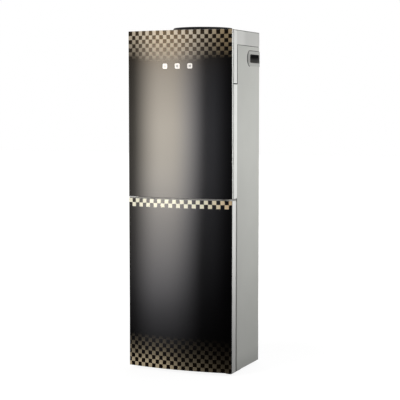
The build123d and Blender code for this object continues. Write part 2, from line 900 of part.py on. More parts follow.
probe_ring_z = cover_top - throat_depth - fit_gap - probe_ring
with BuildPart() as water_probe:
    with BuildSketch(turning(0, seat_y, 0)):
        with BuildLine():
            Polyline(
                (0, probe_ring_z),
                (probe_r, probe_ring_z),
                (probe_r, probe_ring_z + probe_height - 2 * probe_r),
                (probe_r / 3, probe_ring_z + probe_height),
                (0, probe_ring_z + probe_height),
                close=True,
            )
        make_face()
    revolve(axis=seat_axis)
    with BuildSketch(Plane.XY.offset(probe_ring_z)):
        with Locations((0, seat_y)):
            Circle(throat_r + seat_wall)
            Circle(throat_r - seat_wall, mode=Mode.SUBTRACT)
            with PolarLocations(0, probe_spokes):
                with Locations((throat_r / 2 + probe_r / 4, 0)):
                    Rectangle(throat_r - probe_r / 2, probe_spoke)
    extrude(amount=probe_ring)
    with BuildSketch(facing(seat_y + 2 * probe_r)):
        with Locations((0, probe_ring_z + probe_height / 2)):
            SlotOverall(probe_slot_length, probe_slot, rotation=90)
    extrude(amount=4 * probe_r, mode=Mode.SUBTRACT)
water_probe.part.label = "water_probe"
export_step(water_probe.part, "parts/water_probe.step")

# Cold tank, its baffle, evaporator sleeve and foam
cold_nozzle_points = [(tap_pitch / 2, seat_y), (hot_feed_x, hot_feed_y)]
with BuildPart() as cold_tank:
    with BuildSketch(turning(0, seat_y, 0)):
        with BuildLine():
            Polyline(
                (0, tank_bottom),
                (tank_r, tank_bottom),
                (tank_r, tank_top - tank_flange),
                (tank_flange_r, tank_top - tank_flange),
                (tank_flange_r, tank_top),
                (tank_r - tank_wall, tank_top),
                (tank_r - tank_wall, tank_bottom + tank_wall),
                (0, tank_bottom + tank_wall),
                close=True,
            )
        make_face()
    revolve(axis=seat_axis)
    with BuildSketch(Plane.XY.offset(nozzle_bottom)):
        with Locations(*cold_nozzle_points):
            Circle(nozzle_r)
    extrude(amount=tank_bottom - nozzle_bottom)
    with BuildSketch(Plane.XY.offset(nozzle_bottom)):
        with Locations(*cold_nozzle_points):
            Circle(nozzle_bore_r)
    extrude(amount=tank_bottom + tank_wall - nozzle_bottom, mode=Mode.SUBTRACT)
cold_tank.part.label = "cold_tank"
export_step(cold_tank.part, "parts/cold_tank.step")

baffle_z = probe_ring_z - baffle_gap
with BuildPart() as tank_baffle:
    with BuildSketch(Plane.XY.offset(baffle_z)):
        with Locations((0, seat_y)):
            Circle(tank_r - tank_wall - seam)
            with PolarLocations(tank_r - baffle_hole_inset, baffle_holes):
                Circle(baffle_hole_r, mode=Mode.SUBTRACT)
    extrude(amount=baffle)
    with BuildSketch(Plane.XY.offset(tank_bottom + tank_wall + fit_gap)):
        with Locations((hot_feed_x, hot_feed_y)):
            Circle(nozzle_r)
    extrude(amount=baffle_z - tank_bottom - tank_wall - fit_gap)
    with BuildSketch(Plane.XY.offset(tank_bottom)):
        with Locations((hot_feed_x, hot_feed_y)):
            Circle(nozzle_bore_r)
    extrude(amount=baffle_z + baffle - tank_bottom, mode=Mode.SUBTRACT)
tank_baffle.part.label = "tank_baffle"
export_step(tank_baffle.part, "parts/tank_baffle.step")

with BuildPart() as evaporator_sleeve:
    with BuildSketch(Plane.XY.offset(tank_bottom + foam_floor)):
        with Locations((0, seat_y)):
            Circle(tank_r + fit_gap + sleeve)
            Circle(tank_r + fit_gap, mode=Mode.SUBTRACT)
    extrude(amount=tank_top - tank_bottom - 2 * foam_floor)
evaporator_sleeve.part.label = "evaporator_sleeve"
export_step(evaporator_sleeve.part, "parts/evaporator_sleeve.step")

with BuildPart() as cold_tank_insulation:
    with BuildSketch(Plane.XY.offset(tank_shelf_z + sheet)):
        with Locations((0, seat_y)):
            Circle(foam_r)
    extrude(amount=tank_top - tank_flange - fit_gap - tank_shelf_z - sheet)
    with BuildSketch(Plane.XY.offset(tank_bottom - fit_gap)):
        with Locations((0, seat_y)):
            Circle(tank_r + sleeve + 2 * fit_gap)
    extrude(amount=tank_top - tank_bottom, mode=Mode.SUBTRACT)
    with BuildSketch(Plane.XY.offset(tank_shelf_z)):
        with Locations(*cold_nozzle_points):
            Circle(nozzle_r + fit_gap)
    extrude(amount=foam_floor + sheet, mode=Mode.SUBTRACT)
cold_tank_insulation.part.label = "cold_tank_insulation"
export_step(cold_tank_insulation.part, "parts/cold_tank_insulation.step")

# Cross shelf between the side panels, under the cold tank
tank_shelf_half = half_width - sheet - fit_gap
tank_shelf_front_y = seat_y - foam_r
tank_shelf_rear_y = bend_y - bend_radius
with BuildPart() as tank_shelf:
    with BuildSketch(Plane.XY.offset(tank_shelf_z - tank_shelf_flange)):
        with Locations((0, (tank_shelf_front_y + tank_shelf_rear_y) / 2)):
            Rectangle(2 * tank_shelf_half, tank_shelf_rear_y - tank_shelf_front_y)
    extrude(amount=tank_shelf_flange + sheet)
    with BuildSketch(Plane.XY.offset(tank_shelf_z - tank_shelf_flange)):
        with Locations((0, (tank_shelf_front_y + tank_shelf_rear_y) / 2)):
            Rectangle(2 * (tank_shelf_half - sheet), tank_shelf_rear_y - tank_shelf_front_y)
    extrude(amount=tank_shelf_flange, mode=Mode.SUBTRACT)
    with BuildSketch(Plane.XY.offset(tank_shelf_z)):
        with Locations(*cold_nozzle_points):
            Circle(nozzle_r + fit_gap)
    extrude(amount=sheet, mode=Mode.SUBTRACT)
tank_shelf.part.label = "tank_shelf"
export_step(tank_shelf.part, "parts/tank_shelf.step")

# Hot tank behind the tap bay
hot_tank_y = corner_y + hot_tank_setback
hot_shelf_z = upper_door_bottom + hot_shelf_rise
hot_tank_bottom = hot_shelf_z + sheet + fit_gap
hot_tank_top = hot_tank_bottom + hot_tank_height
hot_outlet_x = -tap_pitch / 2
hot_tank_axis = Axis((hot_tank_x, hot_tank_y, 0), (0, 0, 1))
hot_bottom_points = [(hot_tank_x, hot_tank_y), (drain_x, hot_tank_y)]
with BuildPart() as hot_tank_room:
    with BuildSketch(Plane.XY.offset(hot_tank_bottom + hot_tank_wall)):
        with Locations((hot_tank_x, hot_tank_y)):
            Circle(hot_tank_r - hot_tank_wall)
    extrude(amount=hot_tank_height - 2 * hot_tank_wall)
    fillet(hot_tank_room.edges().filter_by(GeomType.CIRCLE), hot_tank_edge - hot_tank_wall)

with BuildPart() as hot_tank:
    with BuildSketch(Plane.XY.offset(hot_tank_bottom)):
        with Locations((hot_tank_x, hot_tank_y)):
            Circle(hot_tank_r)
    extrude(amount=hot_tank_height)
    fillet(hot_tank.edges().filter_by(GeomType.CIRCLE), hot_tank_edge)
    with BuildSketch(Plane.XY.offset(hot_tank_bottom - hot_nozzle)):
        with Locations(*hot_bottom_points):
            Circle(nozzle_r)
    extrude(amount=hot_nozzle + hot_tank_wall)
    with BuildSketch(Plane.XY.offset(hot_tank_top - hot_tank_wall)):
        with Locations((hot_outlet_x, hot_tank_y)):
            Circle(nozzle_r)
    extrude(amount=hot_nozzle + hot_tank_wall)
    add(hot_tank_room.part, mode=Mode.SUBTRACT)
    with BuildSketch(Plane.XY.offset(hot_tank_bottom - hot_nozzle)):
        with Locations(*hot_bottom_points):
            Circle(nozzle_bore_r)
    extrude(amount=hot_nozzle + hot_tank_wall, mode=Mode.SUBTRACT)
    with BuildSketch(Plane.XY.offset(hot_tank_top - hot_tank_wall)):
        with Locations((hot_outlet_x, hot_tank_y)):
            Circle(nozzle_bore_r)
    extrude(amount=hot_nozzle + hot_tank_wall, mode=Mode.SUBTRACT)
hot_tank.part.label = "hot_tank"
export_step(hot_tank.part, "parts/hot_tank.step")

with BuildPart() as hot_tank_insulation:
    with BuildSketch(Plane.XY.offset(hot_tank_bottom)):
        with Locations((hot_tank_x, hot_tank_y)):
            Circle(hot_tank_r + fit_gap + hot_foam)
            Circle(hot_tank_r + fit_gap, mode=Mode.SUBTRACT)
    extrude(amount=hot_tank_height)
hot_tank_insulation.part.label = "hot_tank_insulation"
export_step(hot_tank_insulation.part, "parts/hot_tank_insulation.step")

hot_shelf_half = half_width - rear_chamfer - rear_flange + hot_tank_x - seam
hot_shelf_rear_y = rear_y - fit_gap
with BuildPart() as hot_tank_shelf:
    with BuildSketch(Plane.XY.offset(hot_shelf_z)):
        with Locations((hot_tank_x, (hot_tank_y - hot_tank_r + hot_shelf_rear_y) / 2)):
            Rectangle(2 * hot_shelf_half, hot_shelf_rear_y - hot_tank_y + hot_tank_r)
        with Locations(*hot_bottom_points):
            Circle(nozzle_r + fit_gap, mode=Mode.SUBTRACT)
    extrude(amount=sheet)
    with BuildSketch(facing(hot_shelf_rear_y)):
        with Locations((hot_tank_x, hot_shelf_z - beam_flange / 2)):
            Rectangle(2 * hot_shelf_half, beam_flange)
    extrude(amount=sheet)
hot_tank_shelf.part.label = "hot_tank_shelf"
export_step(hot_tank_shelf.part, "parts/hot_tank_shelf.step")

# Hoses between the tanks and the taps
shank_end_y = bay_back_y + bay_wall + tap_shank
hot_feed_z = hot_tank_bottom - hot_nozzle - 2 * hose_bend
with BuildPart() as water_hoses:
    add(
        bent_rod(
            [
                (tap_pitch / 2, seat_y, nozzle_bottom - fit_gap),
                (tap_pitch / 2, seat_y, tap_z),
                (tap_pitch / 2, shank_end_y + fit_gap, tap_z),
            ],
            hose_bend,
            nozzle_r,
        )
    )
    add(
        bent_rod(
            [
                (-tap_pitch / 2, shank_end_y + fit_gap, tap_z),
                (-tap_pitch / 2, hot_tank_y, tap_z),
                (-tap_pitch / 2, hot_tank_y, hot_tank_top + hot_nozzle + fit_gap),
            ],
            hose_bend,
            nozzle_r,
        )
    )
    add(
        bent_rod(
            [
                (hot_feed_x, hot_feed_y, nozzle_bottom - fit_gap),
                (hot_feed_x, hot_feed_y, hot_feed_z),
                (hot_tank_x, hot_tank_y, hot_feed_z),
                (hot_tank_x, hot_tank_y, hot_tank_bottom - hot_nozzle - fit_gap),
            ],
            hose_bend,
            nozzle_r,
        )
    )
water_hoses.part.label = "water_hoses"
export_step(water_hoses.part, "parts/water_hoses.step")

drain_y = corner_y + drier_setback
with BuildPart() as drain_pipe:
    add(
        bent_rod(
            [
                (drain_x, hot_tank_y, hot_tank_bottom - hot_nozzle - fit_gap),
                (drain_x, hot_tank_y, hot_feed_z),
                (drain_x, drain_y, hot_feed_z),
                (drain_x, drain_y, drain_z),
                (drain_x, back_y + fit_gap, drain_z),
            ],
            hose_bend,
            drain_r,
        )
    )
    with BuildSketch(facing(rear_y - sheet)):
        with Locations((drain_x, drain_z)):
            Circle(drain_thread_r)
    extrude(amount=-(2 * sheet + gland_flange + drain_thread))
    with BuildSketch(facing(back_y)):
        with Locations((drain_x, drain_z)):
            Circle(drain_flange_r)
    extrude(amount=-gland_flange)
drain_pipe.part.label = "drain_pipe"
export_step(drain_pipe.part, "parts/drain_pipe.step")

cap_face_y = back_y + gland_flange + fit_gap
with BuildPart() as drain_cap:
    with BuildSketch(facing(cap_face_y)):
        with Locations((drain_x, drain_z)):
            Circle(cap_r)
            with PolarLocations(cap_r, cap_flutes):
                Circle(cap_r / 10, mode=Mode.SUBTRACT)
    extrude(amount=-(drain_thread + cap_end))
    with BuildSketch(facing(cap_face_y)):
        with Locations((drain_x, drain_z)):
            Circle(drain_thread_r + pin_clearance)
    extrude(amount=-drain_thread, mode=Mode.SUBTRACT)
drain_cap.part.label = "drain_cap"
export_step(drain_cap.part, "parts/drain_cap.step")

# Inlet for the mains cord
with BuildPart() as cord_gland:
    with BuildSketch(facing(back_y)):
        with Locations((gland_x, gland_z)):
            Circle(gland_flange_r)
    extrude(amount=-gland_flange)
    with BuildSketch(facing(back_y)):
        with Locations((gland_x, gland_z)):
            Circle(gland_r - fit_gap)
    extrude(amount=gland_length - gland_flange)
    with BuildSketch(facing(back_y + gland_flange)):
        with Locations((gland_x, gland_z)):
            Circle(gland_bore_r)
    extrude(amount=gland_length, mode=Mode.SUBTRACT)
cord_gland.part.label = "cord_gland"
export_step(cord_gland.part, "parts/cord_gland.step")

# Heating and cooling switches
rocker_y = back_y - rocker_sink
switch_hole_x = rocker_width + 2 * rocker_gap
switch_hole_z = rocker_height + 2 * rocker_gap
with BuildPart() as switch_housing:
    with BuildSketch(facing(back_y)):
        with Locations((0, switch_z)):
            RectangleRounded(switch_plate_width, switch_plate_height, switch_plate_corner)
    extrude(amount=-switch_plate)
    with BuildSketch(facing(back_y)):
        with Locations((0, switch_z)):
            with GridLocations(switch_pitch, 1, 2, 1):
                Rectangle(switch_hole_x + 2 * switch_box_wall, switch_hole_z + 2 * switch_box_wall)
    extrude(amount=switch_box_depth)
    with BuildSketch(facing(back_y + switch_plate)):
        with Locations((0, switch_z)):
            with GridLocations(switch_pitch, 1, 2, 1):
                Rectangle(switch_hole_x, switch_hole_z)
    extrude(amount=switch_box_depth + switch_plate - switch_box_wall, mode=Mode.SUBTRACT)
    with BuildSketch(Plane.YZ.offset(-switch_plate_width / 2)):
        with Locations((rocker_y, switch_z)):
            Circle(lever_pivot_r)
    extrude(amount=switch_plate_width, mode=Mode.SUBTRACT)
switch_housing.part.label = "switch_housing"
export_step(switch_housing.part, "parts/switch_housing.step")

tilt = radians(rocker_tilt)
for name, side in (("hot", -1), ("cold", 1)):
    rocker_x = side * switch_pitch / 2
    with BuildPart() as rocker:
        with BuildSketch(
            Plane((rocker_x, rocker_y, switch_z), x_dir=(1, 0, 0), z_dir=(0, cos(tilt), sin(tilt)))
        ):
            Rectangle(rocker_width, rocker_height)
        extrude(amount=rocker_depth / 2, both=True)
        with BuildSketch(Plane.YZ.offset(rocker_x)):
            with Locations((rocker_y, switch_z)):
                Circle(lever_pivot_r - pin_clearance)
        extrude(amount=(switch_hole_x + switch_box_wall) / 2, both=True)
    rocker.part.label = f"{name}_switch_rocker"
    export_step(rocker.part, f"parts/{name}_switch_rocker.step")

# Front frame round the tap bay
frame_bottom = upper_door_bottom
frame_top = apron_bottom - seam
frame_rear_y = panel_y - fit_gap
magnet_x = magnet_inset - half_width
magnet_z = (frame_bottom + frame_top) / 2
with BuildPart() as front_frame:
    with BuildSketch(facing(frame_y)):
        with Locations((0, (frame_bottom + frame_top) / 2)):
            Rectangle(body_width, frame_top - frame_bottom)
    extrude(amount=-(frame_rear_y - frame_y))
    with BuildSketch(facing(frame_y + cover_wall)):
        with Locations((0, (frame_bottom + frame_top + cover_wall) / 2)):
            Rectangle(body_width - 2 * cover_wall, frame_top - frame_bottom - cover_wall)
    extrude(amount=-(frame_rear_y - frame_y), mode=Mode.SUBTRACT)
    with BuildSketch(facing(frame_y)):
        with Locations((0, (bay_bottom + bay_top) / 2)):
            RectangleRounded(bay_width, bay_height, bay_corner)
    extrude(amount=-cover_wall, mode=Mode.SUBTRACT)
    with BuildSketch(Plane.XY.offset(frame_bottom)):
        with Locations((hinge_x, (frame_y + cover_wall + panel_y) / 2)):
            Rectangle(hinge_width + 2 * fit_gap, panel_y - frame_y - cover_wall)
    extrude(amount=cover_wall, mode=Mode.SUBTRACT)
    with BuildSketch(facing(frame_y)):
        with Locations((magnet_x, magnet_z)):
            Rectangle(keeper_width, keeper_height)
    extrude(amount=-cover_wall, mode=Mode.SUBTRACT)
front_frame.part.label = "front_frame"
export_step(front_frame.part, "parts/front_frame.step")

with BuildPart() as door_magnet:
    with BuildSketch(facing(frame_y)):
        with Locations((magnet_x, magnet_z)):
            Rectangle(keeper_width - fit_gap, keeper_height - fit_gap)
    extrude(amount=-magnet_depth)
door_magnet.part.label = "door_magnet"
export_step(door_magnet.part, "parts/door_magnet.step")

# Tap bay
bay_mid_z = (bay_bottom + bay_top) / 2
with BuildPart() as bay_room:
    with BuildSketch(facing(bay_front_y)):
        with Locations((0, bay_mid_z)):
            RectangleRounded(bay_width, bay_height, bay_corner)
    extrude(amount=-bay_depth)
    fillet(bay_room.faces().sort_by(Axis.Y)[-1].outer_wire().edges(), bay_corner / 2)

with BuildPart() as tap_bay:
    with BuildSketch(facing(bay_front_y)):
        with Locations((0, bay_mid_z)):
            RectangleRounded(bay_width + 2 * bay_wall, bay_height + 2 * bay_wall, bay_corner + bay_wall)
    extrude(amount=-(bay_depth + bay_wall))
    fillet(tap_bay.faces().sort_by(Axis.Y)[-1].outer_wire().edges(), bay_corner / 2 + bay_wall)
    with BuildSketch(facing(bay_front_y)):
        with Locations((0, bay_mid_z)):
            RectangleRounded(bay_width + 2 * bay_rim, bay_height + 2 * bay_rim, bay_corner + bay_rim)
    extrude(amount=-bay_wall)
    add(bay_room.part, mode=Mode.SUBTRACT)
    with BuildSketch(facing(bay_back_y)):
        with Locations((0, tap_z)):
            with GridLocations(tap_pitch, 1, 2, 1):
                Circle(tap_barrel_r + tap_boss)
    extrude(amount=bay_wall)
    with BuildSketch(facing(bay_back_y - bay_wall)):
        with Locations((0, tap_z)):
            with GridLocations(tap_pitch, 1, 2, 1):
                Circle(tap_shank_r + fit_gap)
    extrude(amount=-3 * bay_wall, mode=Mode.SUBTRACT)
tap_bay.part.label = "tap_bay"
export_step(tap_bay.part, "parts/tap_bay.step")

# Drip tray and the grille that lies in it
tray_y = bay_back_y - bay_corner / 2 - tray_depth / 2
tray_z = bay_bottom + fit_gap
grille_z = tray_z + tray_height - tray_ledge
with BuildPart() as drip_tray:
    with BuildSketch(Plane.XY.offset(tray_z)):
        with Locations((0, tray_y)):
            RectangleRounded(tray_width, tray_depth, tray_corner)
    extrude(amount=tray_height)
    chamfer(drip_tray.edges().group_by(Axis.Z)[0], tray_wall)
    with BuildSketch(Plane.XY.offset(tray_z + tray_wall)):
        with Locations((0, tray_y)):
            RectangleRounded(
                tray_width - 4 * tray_wall, tray_depth - 4 * tray_wall, tray_corner - 2 * tray_wall
            )
    extrude(amount=tray_height, mode=Mode.SUBTRACT)
    with BuildSketch(Plane.XY.offset(grille_z)):
        with Locations((0, tray_y)):
            RectangleRounded(tray_width - 2 * tray_wall, tray_depth - 2 * tray_wall, tray_corner - tray_wall)
    extrude(amount=tray_ledge, mode=Mode.SUBTRACT)
drip_tray.part.label = "drip_tray"
export_step(drip_tray.part, "parts/drip_tray.step")

grille_rows = int((tray_width - 2 * tray_corner) / grille_pitch)
with BuildPart() as drip_grille:
    with BuildSketch(Plane.XY.offset(grille_z + fit_gap)):
        with Locations((0, tray_y)):
            RectangleRounded(
                tray_width - 2 * tray_wall - 2 * fit_gap,
                tray_depth - 2 * tray_wall - 2 * fit_gap,
                tray_corner - tray_wall - fit_gap,
            )
            with GridLocations(grille_pitch, 1, grille_rows, 1):
                SlotOverall(tray_depth - 2 * tray_corner, grille_slot, rotation=90, mode=Mode.SUBTRACT)
    extrude(amount=grille_thickness)
drip_grille.part.label = "drip_grille"
export_step(drip_grille.part, "parts/drip_grille.step")

# Taps: body, lever and valve stem
pivot_y = tap_y + lever_arm
stem_top = tap_z + bonnet_height + stem_rise
pivot_z = stem_top
stem_bottom = tap_z + bonnet_height / 3
lever_z = stem_top + fit_gap
for name, side in (("hot", -1), ("cold", 1)):
    tap_x = side * tap_pitch / 2
    with BuildPart() as tap:
        with BuildSketch(facing(tap_y - spout_r - tap_nose)):
            with Locations((tap_x, tap_z)):
                Circle(tap_barrel_r)
        extrude(amount=-(tap_nose + tap_reach - bay_wall - fit_gap))
        with BuildSketch(facing(bay_back_y - bay_wall - fit_gap)):
            with Locations((tap_x, tap_z)):
                Circle(tap_shank_r)
        extrude(amount=-(2 * bay_wall + tap_shank + fit_gap))
        with BuildSketch(Plane.XY.offset(tap_z - spout_length)):
            with Locations((tap_x, tap_y)):
                Circle(spout_r)
        extrude(amount=spout_length)
        with BuildSketch(Plane.XY.offset(tap_z)):
            with Locations((tap_x, tap_y)):
                Circle(bonnet_r)
        extrude(amount=bonnet_height)
        fillet(tap.edges().group_by(Axis.Z)[-1], bonnet_round)
        with BuildSketch(Plane.YZ.offset(tap_x)):
            with BuildLine():
                Polyline(
                    (pivot_y - 1.5 * lever_hub_r, tap_z),
                    (pivot_y + 1.5 * lever_hub_r, tap_z),
                    (pivot_y + lever_hub_r, pivot_z),
                    (pivot_y - lever_hub_r, pivot_z),
                    close=True,
                )
            make_face()
            with Locations((pivot_y, pivot_z)):
                Circle(lever_hub_r)
        extrude(amount=ear_gap / 2 + ear, both=True)
        with BuildSketch(Plane.YZ.offset(tap_x)):
            with Locations((pivot_y, pivot_z)):
                Rectangle(3 * lever_hub_r, 2.5 * lever_hub_r)
        extrude(amount=ear_gap / 2, both=True, mode=Mode.SUBTRACT)
        with BuildSketch(Plane.YZ.offset(tap_x)):
            with Locations((pivot_y, pivot_z)):
                Circle(lever_pivot_r)
        extrude(amount=ear_gap, both=True, mode=Mode.SUBTRACT)
        with BuildSketch(Plane.XY.offset(stem_bottom - stem_travel - fit_gap)):
            with Locations((tap_x, tap_y)):
                Circle(stem_r + pin_clearance)
        extrude(amount=tap_z + bonnet_height, mode=Mode.SUBTRACT)
        with BuildSketch(Plane.XY.offset(tap_z - spout_length)):
            with Locations((tap_x, tap_y)):
                Circle(spout_bore_r)
        extrude(amount=spout_length - tap_barrel_r / 2, mode=Mode.SUBTRACT)
    tap.part.label = f"{name}_tap"
    export_step(tap.part, f"parts/{name}_tap.step")

    with BuildPart() as lever:
        with BuildSketch(Plane.YZ.offset(tap_x)):
            with Locations((pivot_y, pivot_z)):
                Circle(lever_hub_r)
        extrude(amount=ear_gap / 2 - fit_gap, both=True)
        with BuildSketch(Plane.XY.offset(lever_z)):
            with BuildLine():
                neck = ear_gap / 2 - fit_gap
                shoulder_y = pivot_y - 2 * lever_hub_r
                tip_y = pivot_y - lever_length
                Polyline(
                    (tap_x + neck, pivot_y),
                    (tap_x + neck, shoulder_y),
                    (tap_x + lever_width / 2, shoulder_y - lever_width / 2),
                    (tap_x + lever_width / 2, tip_y),
                    (tap_x - lever_width / 2, tip_y),
                    (tap_x - lever_width / 2, shoulder_y - lever_width / 2),
                    (tap_x - neck, shoulder_y),
                    (tap_x - neck, pivot_y),
                    close=True,
                )
            make_face()
        extrude(amount=lever_plate)
        fillet(lever.edges().filter_by(Axis.Z).sort_by(Axis.Y)[:2], lever_width / 2 - bonnet_round / 2)
        with BuildSketch(Plane.YZ.offset(tap_x)):
            with Locations((pivot_y, pivot_z)):
                Circle(lever_pivot_r - pin_clearance)
        extrude(amount=ear_gap / 2 + ear, both=True)
    lever.part.label = f"{name}_tap_lever"
    export_step(lever.part, f"parts/{name}_tap_lever.step")

    with BuildPart() as stem:
        with BuildSketch(Plane.XY.offset(stem_bottom)):
            with Locations((tap_x, tap_y)):
                Circle(stem_r)
        extrude(amount=stem_top - stem_bottom)
        fillet(stem.edges().group_by(Axis.Z)[-1], stem_r / 2)
    stem.part.label = f"{name}_tap_stem"
    export_step(stem.part, f"parts/{name}_tap_stem.step")

# Cross beam between tap bay and lower cabinet
beam_top = upper_door_bottom - seam
beam_bottom = beam_top - beam_height
beam_half = half_width - front_flange - fit_gap
with BuildPart() as mid_beam:
    with BuildSketch(Plane.YZ.offset(-beam_half)):
        with BuildLine():
            FilletPolyline(
                (panel_y + beam_flange, beam_bottom),
                (panel_y, beam_bottom),
                (panel_y, beam_top),
                (panel_y + beam_flange, beam_top),
                radius=bend_radius,
            )
            offset(amount=sheet, side=Side.RIGHT)
        make_face()
    extrude(amount=2 * beam_half)
mid_beam.part.label = "mid_beam"
export_step(mid_beam.part, "parts/mid_beam.step")

# Cabinet liner with the hump over the compressor
liner_half = half_width - front_flange - fit_gap
liner_face_y = panel_y + sheet + fit_gap
liner_rear_y = panel_y + liner_depth
liner_bottom = foot_height + pan_front + fit_gap
liner_top = beam_bottom - fit_gap
hump_y = compressor_y - compressor_r - hump_gap
hump_z = compressor_top + hump_gap


def liner_side(inset, face_y):
    with BuildSketch() as outline:
        with BuildLine():
            Polyline(
                (face_y, liner_bottom + inset),
                (hump_y - inset, liner_bottom + inset),
                (hump_y - inset, hump_z + inset),
                (liner_rear_y - inset, hump_z + inset),
                (liner_rear_y - inset, liner_top - inset),
                (face_y, liner_top - inset),
                close=True,
            )
        make_face()
    return outline.sketch


shelf_z = hump_z + shelf_rise
with BuildPart() as cabinet_liner:
    with BuildSketch(Plane.YZ.offset(-liner_half)):
        add(liner_side(0, liner_face_y))
    extrude(amount=2 * liner_half)
    with BuildSketch(facing(liner_face_y)):
        with Locations((0, (liner_bottom + liner_top) / 2)):
            Rectangle(2 * (liner_half + liner_rim), liner_top - liner_bottom)
    extrude(amount=-liner_wall)
    with BuildSketch(Plane.YZ.offset(liner_wall - liner_half)):
        add(liner_side(liner_wall, liner_face_y))
    extrude(amount=2 * (liner_half - liner_wall), mode=Mode.SUBTRACT)
    with BuildSketch(Plane.XY.offset(shelf_z - liner_ledge)):
        with Locations((0, (hump_y + liner_rear_y) / 2)):
            with GridLocations(2 * liner_half - 2 * liner_wall - liner_ledge, 1, 2, 1):
                Rectangle(liner_ledge, liner_rear_y - hump_y)
    extrude(amount=liner_ledge)
cabinet_liner.part.label = "cabinet_liner"
export_step(cabinet_liner.part, "parts/cabinet_liner.step")

# Wire shelf that lies on the liner's ledges
shelf_half = liner_half - liner_wall - shelf_side_gap
shelf_front_y = hump_y - shelf_overhang
shelf_rear_y = liner_rear_y - liner_wall - shelf_rear_gap
shelf_wires = int(2 * (shelf_half - shelf_edge) / shelf_pitch)
shelf_mid_z = shelf_z + fit_gap + shelf_wire_r
with BuildPart() as cabinet_shelf:
    with BuildSketch(Plane.YZ.offset(-shelf_half)):
        with Locations(
            (shelf_front_y + shelf_wire_r, shelf_mid_z), (shelf_rear_y - shelf_wire_r, shelf_mid_z)
        ):
            Circle(shelf_wire_r)
    extrude(amount=2 * shelf_half)
    with BuildSketch(facing(shelf_front_y + shelf_wire_r)):
        with Locations((0, shelf_mid_z + shelf_wire_r)):
            with GridLocations(shelf_pitch, 1, shelf_wires, 1):
                Circle(shelf_wire_r * 0.7)
    extrude(amount=-(shelf_rear_y - shelf_front_y - 2 * shelf_wire_r))
cabinet_shelf.part.label = "cabinet_shelf"
export_step(cabinet_shelf.part, "parts/cabinet_shelf.step")

# Upper door
with BuildPart() as upper_door_glass:
    with BuildSketch(Plane.XY.offset(upper_door_bottom)):
        add(pane_plan(half_width))
    extrude(amount=upper_glass_top - upper_door_bottom)
upper_door_glass.part.label = "upper_door_glass"
export_step(upper_door_glass.part, "parts/upper_door_glass.step")

pocket_width = (body_width - 2 * upper_rim - (pocket_columns - 1) * rib) / pocket_columns
pocket_height = (upper_door_height - 2 * upper_rim - (pocket_rows - 1) * rib) / pocket_rows
with BuildPart() as upper_door_frame:
    with BuildSketch(Plane.XY.offset(upper_door_bottom)):
        add(bowed_plan(glass, half_width, upper_rear_y))
    extrude(amount=upper_door_height)
    fillet(
        upper_door_frame.edges()
        .filter_by(Axis.Z)
        .filter_by_position(Axis.X, half_width - fit_gap, half_width + fit_gap)
        .sort_by(Axis.Y)[-1],
        upper_knuckle_r,
    )
    for column in range(pocket_columns):
        pocket_x = (column - (pocket_columns - 1) / 2) * (pocket_width + rib)
        for row in range(pocket_rows):
            pocket_z = upper_door_bottom + upper_rim + row * (pocket_height + rib)
            with BuildSketch(Plane.XY.offset(pocket_z)):
                add(bowed_plan(glass + door_skin, half_width - rib, upper_rear_y))
                with Locations((pocket_x, corner_y)):
                    Rectangle(pocket_width, side_depth, mode=Mode.INTERSECT)
            extrude(amount=pocket_height, mode=Mode.SUBTRACT)
    with BuildSketch(facing(upper_rear_y)):
        with Locations((0, icon_z)):
            with GridLocations(icon_pitch, 1, 3, 1):
                Rectangle(icon_size, icon_size)
    extrude(amount=door_bow + upper_door_edge, mode=Mode.SUBTRACT)
    with BuildSketch(facing(upper_rear_y)):
        with Locations((magnet_x, magnet_z)):
            Rectangle(keeper_width + fit_gap, keeper_height + fit_gap)
    extrude(amount=keeper_depth, mode=Mode.SUBTRACT)
    with BuildSketch(Plane.XY.offset(upper_door_bottom)):
        with Locations((upper_pin_x, upper_pin_y)):
            Circle(upper_pin_r + pin_clearance)
    extrude(amount=pin_length + pin_end, mode=Mode.SUBTRACT)
    with BuildSketch(Plane.XY.offset(upper_door_top)):
        with Locations((upper_pin_x, upper_pin_y)):
            Circle(top_pin_r + pin_clearance)
    extrude(amount=-(pin_length + pin_end), mode=Mode.SUBTRACT)
    with BuildSketch(Plane.XY.offset(upper_door_bottom + scoop_length)):
        with Locations((-half_width, upper_rear_y)):
            Circle(scoop_radius)
    extrude(amount=scoop_length, mode=Mode.SUBTRACT)
upper_door_frame.part.label = "upper_door_frame"
export_step(upper_door_frame.part, "parts/upper_door_frame.step")

with BuildPart() as door_keeper:
    with BuildSketch(facing(upper_rear_y)):
        with Locations((magnet_x, magnet_z)):
            Rectangle(keeper_width, keeper_height)
    extrude(amount=keeper_depth)
door_keeper.part.label = "door_keeper"
export_step(door_keeper.part, "parts/door_keeper.step")

# Lower door
with BuildPart() as lower_door_glass:
    with BuildSketch(Plane.XY.offset(lower_door_bottom)):
        add(pane_plan(half_width))
    extrude(amount=lower_door_height)
lower_door_glass.part.label = "lower_door_glass"
export_step(lower_door_glass.part, "parts/lower_door_glass.step")

